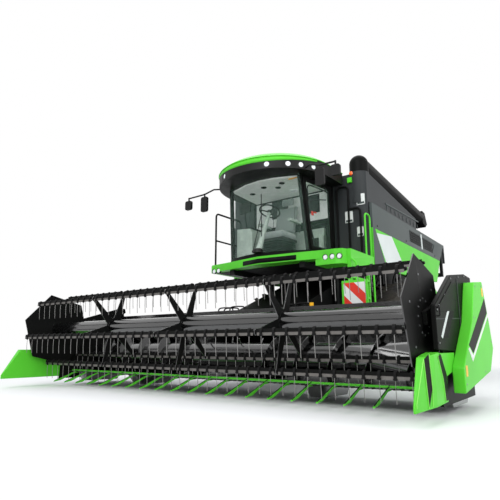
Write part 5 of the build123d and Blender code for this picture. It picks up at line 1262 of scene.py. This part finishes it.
    def dress(self) -> None:
        """Dresses the whole cab."""
        self.door()
        self.roof_edge()
        self.ceiling()
        self.consoles()
        self.wheel()
        self.wiper()


@dataclass
class Mirrors:
    """Silvered glass on the rear face of each mirror head."""

    heads: Sequence[tuple[float, float, float, float, float]] = (
        # x, y, z of the middle, width, height
        (1.19, -2.90, 3.185, 0.150, 0.280), (1.50, -2.99, 3.195, 0.150, 0.170),
        (-1.19, -2.90, 3.185, 0.150, 0.280), (-1.50, -2.99, 3.195, 0.150, 0.170))
    thick: float = 0.045
    rim: float = 0.012

    def dress(self) -> None:
        """Lays a mirror glass with a rim on each head."""
        shape = Shape("mirror_glass", Look.SILVERED)
        for x, y, z, width, height in self.heads:
            w, h, back = width / 2 - self.rim, height / 2 - self.rim, y + self.thick / 2
            shape.box((x - w, back - 0.001, z - h), (x + w, back + 0.003, z + h))
        shape.done("mirrors", bevel=0.0015, steps=1)


@dataclass
class Platform:
    """The platform's blank name wedge, a black sheet of painted shade under it, the ladder's treads and its warning
    board.
    """

    board_x: Flat = (1.373, 1.707)
    board_z: Flat = (1.208, 1.562)
    board_y: float = -2.609
    stripes: int = 2
    treads: int = 5

    def board(self) -> None:
        """Lays the white board and its slanted red stripes on the ladder."""
        board = Shape("warning_board", Look.WHITE)
        (x0, x1), (z0, z1), y = self.board_x, self.board_z, self.board_y
        board.box((x0, y - 0.0015, z0), (x1, y, z1))
        width, height = x1 - x0, z1 - z0
        pitch = (width + height) / self.stripes
        for start in (i * pitch for i in range(self.stripes)):
            # each edge of a stripe runs from the board's foot or right side to its left side or top
            (a, b), (c, d) = (((min(u, width), max(0.0, u - width)), (max(0.0, u - height), min(u, height)))
                              for u in (start, start + pitch / 2))
            points = [a, c, d, b]
            if a[1] == 0 and c[1] > 0:
                points.insert(1, (width, 0.0))
            if b[0] == 0 and d[0] > 0:
                points.insert(-1, (0.0, height))
            board.paint(Look.RED).plate([(x0 + u, z0 + v) for u, v in points], y - 0.0025, y - 0.001, "Y")
        board.done("ladder")

    def dress(self) -> None:
        """Fixes the wedge, the black sheet of painted shade under the platform, the board and the step treads."""
        wedge = Shape("platform_wedge", Look.BLACK)
        wedge.sheet([[(x, y, z) for x, y in ((-0.36, -2.821), (0.0, -2.895), (0.68, -2.806))] for z in (1.968, 2.042)])
        wedge.done("platform", thick=0.003)
        # a thin black sheet under the platform: painted shade
        under = Shape("platform_underside", Look.SEAL)
        under.box((-1.15, -2.58, 1.944), (1.36, -1.72, 1.949))
        under.done("platform")
        self.board()
        treads = Shape("ladder_treads", Look.SEAL)
        for z in (0.56 + 0.27 * i for i in range(self.treads)):
            treads.box((1.385, -2.57, z + 0.001), (1.495, -1.93, z + 0.006))
        treads.done("ladder", bevel=0.0015, steps=1)


@dataclass
class Reel:
    """The reel's bats, each a black tube with clips, rail strips and hanging spring tines."""

    middle: Flat = (-4.478, 0.919)
    radius: float = 0.556
    phase: float = -13.35
    bats: int = 6
    half: float = 3.046
    pitch: float = 0.1524
    tines: int = 40
    tine_length: float = 0.25
    star_x: float = 1.524
    # the strip and the lip on a bat, behind and above its middle
    strip: Sequence[Flat] = ((-0.024, -0.034), (-0.018, -0.032), (-0.018, -0.004), (-0.024, -0.004))
    lip: Sequence[Flat] = ((-0.024, -0.004), (-0.018, -0.004), (-0.014, 0.032), (-0.020, 0.034))
    clip: Sequence[Flat] = ((-0.010, -0.040), (0.004, -0.044), (0.006, 0.030), (0.020, 0.040), (0.016, 0.046),
                            (-0.002, 0.038), (-0.014, 0.016), (-0.012, -0.022))

    def bat(self, number: int) -> None:
        """Builds one bat in place of the plain one.

        Args:
            number: the bat's number, from 1.
        """
        turn = math.radians(self.phase + 60 * (number - 1))
        y = self.middle[0] - self.radius * math.cos(turn)
        z = self.middle[1] + self.radius * math.sin(turn)
        node = f"reel_bat_{number}"
        rod = Shape(f"{node}_tube", Look.BLACK)
        rod.tube((-self.half, y, z), (self.half, y, z), 0.020, 20)
        rod.tube((-self.half - 0.012, y, z), (self.half + 0.012, y, z), 0.0135)
        stars = [x + side * 0.025 for x in (-self.star_x, 0, self.star_x) for side in (-1, 1)]
        ends = [-self.half + 0.008, *stars, self.half - 0.008]
        for start, end in zip(ends[::2], ends[1::2]):
            rod.layers([(Look.RAIL, self.strip, end - start), (Look.BLACK, self.lip, end - start)], start, y, z)
        rod.done(node, smooth=35, replaces=True)
        first = (-(self.tines - 1) / 2 * self.pitch, y - 0.021, z)
        tine = Shape("tine", Look.TINE)
        tine.pipe([(0, 0, 0.002), (0, 0, -0.14), (0, 0.009, -self.tine_length + 0.002)], 0.0036, 6)
        Row.lay(f"{node}_tines", tine, self.tines, first, self.pitch, node, "galvanised", lean=0.012, seed=number)
        clip = Shape("clip", Look.SEAL)
        clip.plate(self.clip, -0.014, 0.014)
        clip.tube((-0.020, -0.004, -0.030), (0.020, -0.004, -0.030), 0.008, 8)
        Row.lay(f"{node}_clips", clip, self.tines, first, self.pitch, node, "galvanised", seed=number)

    def dress(self) -> None:
        """Builds all the bats and the bolts of the reel's end plates."""
        for number in range(1, self.bats + 1):
            self.bat(number)
        heads = Shape("reel_bolts", Look.STEEL)
        inner, outer = ring(self.middle, 0.17, 12), ring(self.middle, 0.40, self.bats, math.radians(30 - self.phase))
        for side in (1, -1):
            face = side * (self.half + 0.012)
            heads.bolts(inner, face, face + side * 0.006, 0.009)
            heads.bolts(outer, face, face + side * 0.005, 0.011)
        heads.done("reel", "worn_steel")


@dataclass
class CutterBar:
    """The green bar with its dark fingers, knife sections and crop lifters."""

    y: float = -4.100
    top: float = 0.250
    fingers: int = 82
    pitch: float = 0.0762
    lifters: int = 19
    lifter_pitches: int = 4
    half: float = 3.105

    def dress(self) -> None:
        """Builds the bar, the fingers, the knife and the lifters in place of the plain ones."""
        bar = Shape("cutter_bar_beam", Look.GREEN)
        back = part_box("cutter_bar")[1][1] - 0.001
        bar.box((-self.half, self.y - 0.022, self.top - 0.022), (self.half, back, self.top))
        bar.done("cutter_bar", bevel=0.003, replaces=True)
        first = -(self.fingers - 1) / 2 * self.pitch
        lifters = (self.lifters, first + 2 * self.pitch, self.y, self.pitch * self.lifter_pitches)
        rows = (
            # name, finish, slot, outline, reach; how many, the first one's x and y, and the step
            ("fingers", Look.CAST, "worn_steel",
             [(-0.011, 0.05, -0.038), (0.011, 0.05, -0.038), (0.011, 0, -0.038), (0.004, -0.104, -0.034),
              (-0.004, -0.104, -0.034), (-0.011, 0, -0.038)], (0, 0, 0.015),
             (self.fingers, first, self.y, self.pitch)),
            ("knife", Look.STEEL, "worn_steel",
             [(-0.034, 0, -0.0225), (0.034, 0, -0.0225), (0.008, -0.066, -0.0225), (-0.008, -0.066, -0.0225)],
             (0, 0, 0.003), (self.fingers - 1, first + self.pitch / 2, self.y - 0.02, self.pitch)),
            ("lifters", Look.GREEN, "green_paint",
             [(-0.010, -0.452, -0.174), (-0.010, -0.442, -0.160), (-0.010, 0.008, 0.005), (-0.010, 0.008, -0.046),
              (-0.010, -0.09, -0.052), (-0.010, -0.33, -0.156)], (0.020, 0, 0), lifters),
            ("spines", Look.SEAL, "black_plastic",
             [(-0.006, -0.442, -0.161), (-0.006, -0.436, -0.153), (-0.006, 0.006, 0.008), (-0.006, 0.008, 0.003)],
             (0.012, 0, 0), lifters),
        )
        for name, look, slot, outline, reach, (count, x, y, step) in rows:
            unit = Shape(name, look)
            unit.prism(outline, reach)
            Row.lay(f"cutter_bar_{name}", unit, count, (x, y, self.top), step, "cutter_bar", slot)


@dataclass
class DriveSide:
    """The left end of the header: the trim of its black guard and green cover."""

    cutter_y: float = -4.100
    guard_x: float = 3.185
    cover_x: float = 3.2955
    label: Flat = (0.035, 0.05)

    def guard(self) -> None:
        """Adds the guard's pressed step, silver line, bolts, handle and slanted blank stripe."""
        x, y = self.guard_x, self.cutter_y
        shape = Shape("drive_guard_trim")
        shape.layers([
            (Look.GREY, [(-0.448, 0.888), (0.60, 0.938), (0.60, 0.948), (-0.448, 0.899)], 0.002),
            (Look.BLACK, [(-0.40, 0.96), (0.20, 1.00), (0.32, 1.20), (0.20, 1.30), (-0.38, 1.00)], 0.006),
            (Look.SILVER, [(-0.33, 0.74), (-0.29, 0.72), (0.16, 1.11), (0.11, 1.13)], 0.004),
            (Look.SEAL, [(-0.29, 0.72), (-0.10, 0.73), (0.34, 1.12), (0.16, 1.11)], 0.005),
            (Look.GREY, [(0.42, 0.60), (0.44, 0.60), (0.44, 1.36), (0.42, 1.355)], 0.005),
        ], x, y)
        bolts = ((-0.40, 0.68), (-0.40, 0.98), (-0.10, 1.14), (0.18, 1.33), (0.50, 1.38), (0.78, 1.42), (-0.324, 1.025))
        shape.paint(Look.STEEL).bolts([(y + back, z) for back, z in bolts], x, x + 0.006, 0.010)
        shape.done("drive_guard", bevel=0.0015, steps=1)
        handle = Shape("drive_guard_handle", Look.SEAL)
        bow = ((-0.002, 0.92), (0.030, 0.92), (0.030, 1.00), (-0.002, 1.00))
        handle.pipe([(x + out, y - 0.425, z) for out, z in bow], 0.006, 8, bend=0.02)
        handle.done("drive_guard")

    def cover(self) -> None:
        """Adds the cover's black stripe over a white chevron, its two labels and its bolts."""
        x = self.cover_x
        shape = Shape("drive_cover_stripe")
        shape.layers([
            (Look.BLACK, [(-2.895, 1.200), (-2.825, 1.035), (-3.71, 0.582), (-3.88, 0.662)], 0.0015),
            (Look.WHITE, [(-3.91, 0.625), (-3.86, 0.640), (-3.73, 0.562), (-2.80, 1.030), (-2.785, 0.995),
                          (-3.77, 0.500)], 0.0018),
        ], x)
        w, h = self.label
        for y, z in ((-2.985, 1.265), (-4.055, 0.420)):
            shape.paint(Look.YELLOW).box((x, y - w, z - h), (x + 0.0016, y + w, z + h))
        shape.paint(Look.STEEL).bolts([(-4.09, 0.30), (-3.2, 0.38), (-2.72, 0.70), (-2.80, 0.95), (-3.02, 1.33),
                                       (-3.33, 1.30), (-3.53, 0.95)], x - 0.002, x + 0.002, 0.011)
        shape.done("drive_cover")

    def dress(self) -> None:
        """Dresses the guard and the cover."""
        self.guard()
        self.cover()


@dataclass
class Rear:
    """The blank number plate, the reflectors and the seams of the straw hood."""

    plate: Flat = (0.26, 0.17)
    plate_place: Flat = (0.24, 1.62)
    reflector_x: float = 0.54
    reflectors: Sequence[tuple[float, Look]] = ((1.52, Look.TAIL), (1.40, Look.AMBER))
    seams: Sequence[float] = (3.75, 4.45)

    def dress(self) -> None:
        """Fits the pieces on the straw hood's back and sides."""
        shape = Shape("straw_hood_trim")
        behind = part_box("straw_hood")[1][1] + 1.0
        dome = [(-0.002, 0), (-0.002, 0.045), (0.006, 0.043), (0.009, 0.036), (0.009, 0)]
        for z, look in self.reflectors:
            for x in (-self.reflector_x, self.reflector_x):
                place, normal = strike("straw_hood", (x, behind, z), (0, -1, 0))
                if place:
                    shape.paint(look).lathe(place, dome, 28, normal)
        x, z = self.plate_place
        place, normal = strike("straw_hood", (x, behind, z), (0, -1, 0))
        if place:
            side = Vector((self.plate[0] / 2, 0, 0))
            up = side.cross(normal).normalized() * self.plate[1] / 2
            corners = [place + side * a + up * b for a, b in ((-1, -1), (1, -1), (1, 1), (-1, 1))]
            shape.paint(Look.WHITE).prism(corners, normal * 0.003)
            for a in (-0.7, 0.7):
                shape.paint(Look.SEAL).lathe(place + side * a, [(0.003, 0.008), (0.006, 0.008), (0.007, 0)], 10, normal)
        for hand in (1, -1):
            for y in self.seams:
                met = (strike("straw_hood", (hand * 3, y, z), (-hand, 0, 0)) for z in (1.30, 1.55, 1.80, 2.05))
                strip = [place + normal * 0.001 for place, normal in met if place]
                if len(strip) > 2:
                    shape.paint(Look.SEAL).pipe(strip, 0.004, 6, bend=0.01)
        shape.done("straw_hood")


@dataclass
class Feeder:
    """Hoses with their unions and a small blank tag in front of the feeder's mouth."""

    wall_y: float = -3.14
    hoses: Sequence[Flat] = ((-0.62, 1.26), (-0.50, 1.25), (-0.38, 1.27), (0.72, 1.25), (0.84, 1.26))
    reach: float = 0.30

    def dress(self) -> None:
        """Fits the pieces on the feeder's upper side."""
        shape = Shape("feeder_hoses")
        y, out = self.wall_y, self.wall_y + 0.02
        for x, z in self.hoses:
            far = x + self.reach
            shape.paint(Look.SEAL).pipe([(x, y, 1.16), (x, out, z - 0.01), (x + 0.10, y + 0.06, z),
                                         (far - 0.04, y + 0.06, z - 0.01), (far, out, 1.15)], 0.011, 8)
            shape.paint(Look.STEEL).tube((x, y, 1.12), (x, y, 1.17), 0.017, 6)
            shape.tube((far, out, 1.11), (far, out, 1.16), 0.017, 6)
        shape.paint(Look.YELLOW).box((1.10, y - 0.02, 1.17), (1.16, y - 0.012, 1.25))
        shape.done("header_frame")


@dataclass
class Divider:
    """Painted shade, in black, over the gaps between the left crop divider's sheets, and painted highlights, in a
    lighter green, along their folded edges.
    """

    tip: Flat = (3.127, -5.101)
    root: Flat = (3.186, -4.700)
    side_x: float = 3.186
    # how far back from the tip and how high; the gap carries painted shade and the edges carry painted highlights
    painted_shade_gap: Sequence[Flat] = ((0.50, 0.545), (0.72, 0.585), (0.78, 0.30), (0.60, 0.16), (0.56, 0.30))
    edges: Sequence[Sequence[Flat]] = (((0.48, 0.55), (0.54, 0.30), (0.58, 0.15)),
                                       ((0.74, 0.59), (0.80, 0.30), (0.76, 0.16)),
                                       ((0.05, 0.17), (0.05, 0.20), (0.48, 0.55)))

    def places(self, outline: Sequence[Flat], out: float) -> list[Point]:
        """Gives points just outside the slanted left face of the divider.

        Args:
            outline: how far back along the face, from 0 to 1, and how high each point lies.
            out: how far outside the face.

        Returns:
            The points.
        """
        (tip_x, tip_y), (root_x, root_y) = self.tip, self.root
        return [(tip_x + (root_x - tip_x) * share + out, tip_y + (root_y - tip_y) * share - 0.15 * out, z)
                for share, z in outline]

    def dress(self) -> None:
        """Lays black painted shade over the gaps between the sheets and lighter green painted highlights along the
        folded edges beside them.
        """
        shape = Shape("crop_divider_folds", Look.BLACK)
        # black sheets just outside the slanted face and the side face: painted shade in the gaps
        shape.prism(self.places(self.painted_shade_gap, 0.0015), (0.002, 0, 0))
        shape.plate([(-4.60, 0.56), (-4.50, 0.58), (-4.36, 0.40), (-4.36, 0.18), (-4.44, 0.17), (-4.47, 0.36)],
                    self.side_x, self.side_x + 0.002)
        # lighter green pipes along the folds: painted highlights
        for edge in self.edges:
            shape.paint(Look.PAINTED_HIGHLIGHT).pipe(self.places(edge, 0.003), 0.004, 6)
        shape.pipe([(self.side_x + 0.002, y, z) for y, z in ((-4.60, 0.57), (-4.48, 0.36), (-4.45, 0.17))], 0.004, 6)
        shape.done("crop_dividers")


@dataclass
class Wheels:
    """Bolts and valves on the rims, and the rings moulded in the tyres' walls."""

    rows: Sequence[tuple[str, float, int]] = (
        # wheel, radius of the bolt circle, bolts
        ("front", 0.19, 10), ("rear", 0.13, 8))
    rings: Flat = (0.30, 0.62)

    def wheel(self, end: str, side: int, bolt_circle: float, bolts: int) -> None:
        """Dresses one wheel.

        Args:
            end: front or rear.
            side: 1 on the left of the machine, -1 on the right.
            bolt_circle: the radius of the bolt circle.
            bolts: how many there are.
        """
        name = "left" if side > 0 else "right"
        rim, tyre = f"{end}_rim_{name}", f"{end}_tyre_{name}"
        low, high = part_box(tyre)
        middle = ((low[1] + high[1]) / 2, (low[2] + high[2]) / 2)
        radius, rim_radius = ((box[1][2] - box[0][2]) / 2 for box in ((low, high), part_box(rim)))
        wall = side * (max(abs(low[0]), abs(high[0])) - 0.055)
        ribs = Shape(f"{tyre}_rings", Look.TYRE)
        for share in self.rings:
            r = rim_radius + (radius - rim_radius) * share
            rib = [(0, r - 0.008), (0.018, r - 0.005), (0.020, r), (0.018, r + 0.005), (0, r + 0.008)]
            ribs.lathe((wall, *middle), rib, 72, (side, 0, 0), closed=True)
        ribs.done(tyre)
        place, _ = strike(rim, (side * 3.0, middle[0] + bolt_circle, middle[1]), (-side, 0, 0))
        face = place.x if place else side
        trim = Shape(f"{rim}_bolts", Look.STEEL)
        spots = ring(middle, bolt_circle, bolts, math.pi / bolts)
        trim.bolts(spots, face - side * 0.001, face + side * 0.014, 0.017)
        trim.bolts(spots, face, face + side * 0.022, 0.010, 10)
        y, z = middle
        trim.paint(Look.SEAL).tube((face, y, z + rim_radius * 0.72), (face + side * 0.03, y, z + rim_radius * 0.76),
                                   0.006, 8)
        trim.done(rim)

    def dress(self) -> None:
        """Dresses all four wheels."""
        for end, bolt_circle, bolts in self.rows:
            for side in (1, -1):
                self.wheel(end, side, bolt_circle, bolts)


PLAIN = (
    # finish, radius of the edges, nodes
    (Look.TYRE, 0.004, "front_tyre_left front_tyre_right rear_tyre_left rear_tyre_right"),
    (Look.RIM, 0.003, "front_rim_left front_rim_right rear_rim_left rear_rim_right"),
    (Look.CAST, 0.006, "front_axle rear_axle"),
    (Look.CAST, 0.004, "knuckle_left knuckle_right"),
    (Look.FRAME, 0.005, "main_frame"),
    (Look.FRAME, 0.006, "separator_housing"),
    (Look.GREEN, 0.006, "straw_hood"),
    (Look.BLACK, 0.006, "straw_chopper"),
    (Look.GREY, 0.006, "grain_tank"),
    (Look.GREY, 0.004, "tank_cover_left tank_cover_right"),
    (Look.BLACK, 0.006, "unloading_auger"),
    (Look.CAST, 0.010, "engine_block"),
    (Look.GREY, 0.008, "engine_hood"),
    (Look.GREEN, 0.006, "side_door_left_lower side_door_right_lower"),
    (Look.PANEL, 0.006, "side_door_left_upper side_door_right_upper"),
    (Look.BLACK, 0.008, "cab_frame"),
    (Look.BLACK, 0.006, "cab_door"),
    (Look.GLASS, 0.0, "cab_door_glass cab_glass"),
    (Look.PLASTIC, 0.010, "roof_visor"),
    (Look.GREEN, 0.012, "cab_roof"),
    (Look.GREEN, 0.008, "platform"),
    (Look.BLACK, 0.0, "railings"),
    (Look.PLASTIC, 0.006, "mirrors"),
    (Look.GREEN, 0.003, "ladder"),
    (Look.BLACK, 0.006, "feeder_house"),
    (Look.BLACK, 0.004, "header_frame"),
    (Look.GREEN, 0.006, "crop_dividers"),
    (Look.BLACK, 0.008, "drive_guard"),
    (Look.GREEN, 0.008, "drive_cover"),
    (Look.GLOSSY, 0.002, "header_auger"),
    (Look.BLACK, 0.006, "reel_arms"),
    (Look.BLACK, 0.004, "lift_cylinder_barrels"),
    (Look.CHROME, 0.002, "lift_cylinder_rods"),
    (Look.BLACK, 0.003, "reel_cylinder_barrels"),
    (Look.CHROME, 0.002, "reel_cylinder_rods"),
    (Look.GLOSSY, 0.003, "header_trough"),
    (Look.CAST, 0.004, "side_drives"),
)


@dataclass
class Studio:
    """The pale floor, the lights and the camera at the photograph's angle."""

    eye: Point = (4.383, -8.929, 0.661)
    turn: float = 36.93
    tilt: float = 11.57
    focal_px: float = 464.71
    frame_px: int = 500
    sensor_mm: float = 36.0
    floor_half: float = 60.0
    # where the floor starts to fade to white, and where it is white
    fade: Flat = (5.6, 8.5)
    aim: Point = (0, 0, 1.4)
    # name, place, size, power
    lamps: Sequence[tuple[str, Point, float, float]] = (
        ("key", (3.0, -12.0, 9.5), 8.0, 900), ("left", (12.0, -3.0, 6.0), 8.0, 460),
        ("top", (-2.0, 2.0, 12.0), 10.0, 360))

    def camera(self) -> None:
        """Places the camera where the photograph was taken from."""
        data = bpy.data.cameras.new("camera")
        data.sensor_width = self.sensor_mm
        data.lens = self.sensor_mm * self.focal_px / self.frame_px
        data.clip_end = 200.0
        camera = stand("camera", data)
        camera.location = self.eye
        camera.rotation_euler = (math.radians(90 + self.tilt), 0, math.radians(self.turn))
        bpy.context.scene.camera = camera

    def floor(self) -> None:
        """Lays a pale floor that fades to the backdrop's white away from the machine."""
        half = self.floor_half
        data = bpy.data.meshes.new("floor")
        data.from_pydata([(-half, -half, 0), (half, -half, 0), (half, half, 0), (-half, half, 0)], [], [(0, 1, 2, 3)])
        made, tree = blank_material("floor")
        ground = tree.add("ShaderNodeBsdfDiffuse", {"Color": (0.86, 0.86, 0.86, 1)})
        white = tree.add("ShaderNodeEmission", {"Color": (1, 1, 1, 1)})
        place = tree.add("ShaderNodeTexCoord").outputs["Object"]
        reach = tree.add("ShaderNodeVectorMath", {0: place}, operation="LENGTH")
        fade = tree.math("MULTIPLY", tree.seen_sharply(), tree.ramp(reach.outputs["Value"], *self.fade))
        blend = tree.add("ShaderNodeMixShader", {0: fade, 1: ground.outputs[0], 2: white.outputs[0]})
        tree.add("ShaderNodeOutputMaterial", {0: blend.outputs[0]})
        data.materials.append(made)
        stand("floor", data)

    def sky(self) -> None:
        """Gives a white backdrop to the camera and a soft grey light to the machine."""
        world = bpy.data.worlds.new("backdrop")
        bpy.context.scene.world = world
        world.use_nodes = True
        world.node_tree.nodes.clear()
        tree = Tree(world.node_tree)
        soft = tree.add("ShaderNodeBackground", {"Color": (0.93, 0.96, 1.0, 1), "Strength": 0.85})
        white = tree.add("ShaderNodeBackground", {"Color": (1, 1, 1, 1)})
        blend = tree.add("ShaderNodeMixShader", {0: tree.seen_sharply(), 1: soft.outputs[0], 2: white.outputs[0]})
        tree.add("ShaderNodeOutputWorld", {0: blend.outputs[0]})

    def lamp(self, name: str, place: Point, size: float, power: float) -> None:
        """Hangs a square soft lamp that points at the machine's middle.

        Args:
            name: the lamp's name.
            place: where it hangs.
            size: the length of its sides.
            power: its power in watts.
        """
        data = bpy.data.lights.new(name, "AREA")
        data.shape, data.size, data.energy = "SQUARE", size, power
        lamp = stand(name, data)
        lamp.location = place
        lamp.rotation_euler = (Vector(self.aim) - Vector(place)).to_track_quat("-Z", "Y").to_euler()

    def build(self) -> None:
        """Builds the whole studio."""
        bpy.context.scene.view_settings.view_transform = "Standard"
        self.camera()
        self.floor()
        self.sky()
        for row in self.lamps:
            self.lamp(*row)


def main() -> None:
    """Builds the studio and dresses every piece."""
    logging.basicConfig(level=logging.INFO, format="%(message)s")
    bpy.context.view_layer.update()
    Studio().build()
    for look, bevel, nodes in PLAIN:
        for node in nodes.split():
            refine(node, look, bevel)
    refine("reel", Look.GLOSSY, 0.003, ends=Look.BLACK)
    for part in (SideDoor(1), SideDoor(-1), TankTrim(), Lamps(), Seat(), Cab(), Mirrors(), Platform(), Reel(),
                 CutterBar(), DriveSide(), Feeder(), Divider(), Rear(), Wheels()):
        part.dress()


if __name__ == "__main__":
    main()
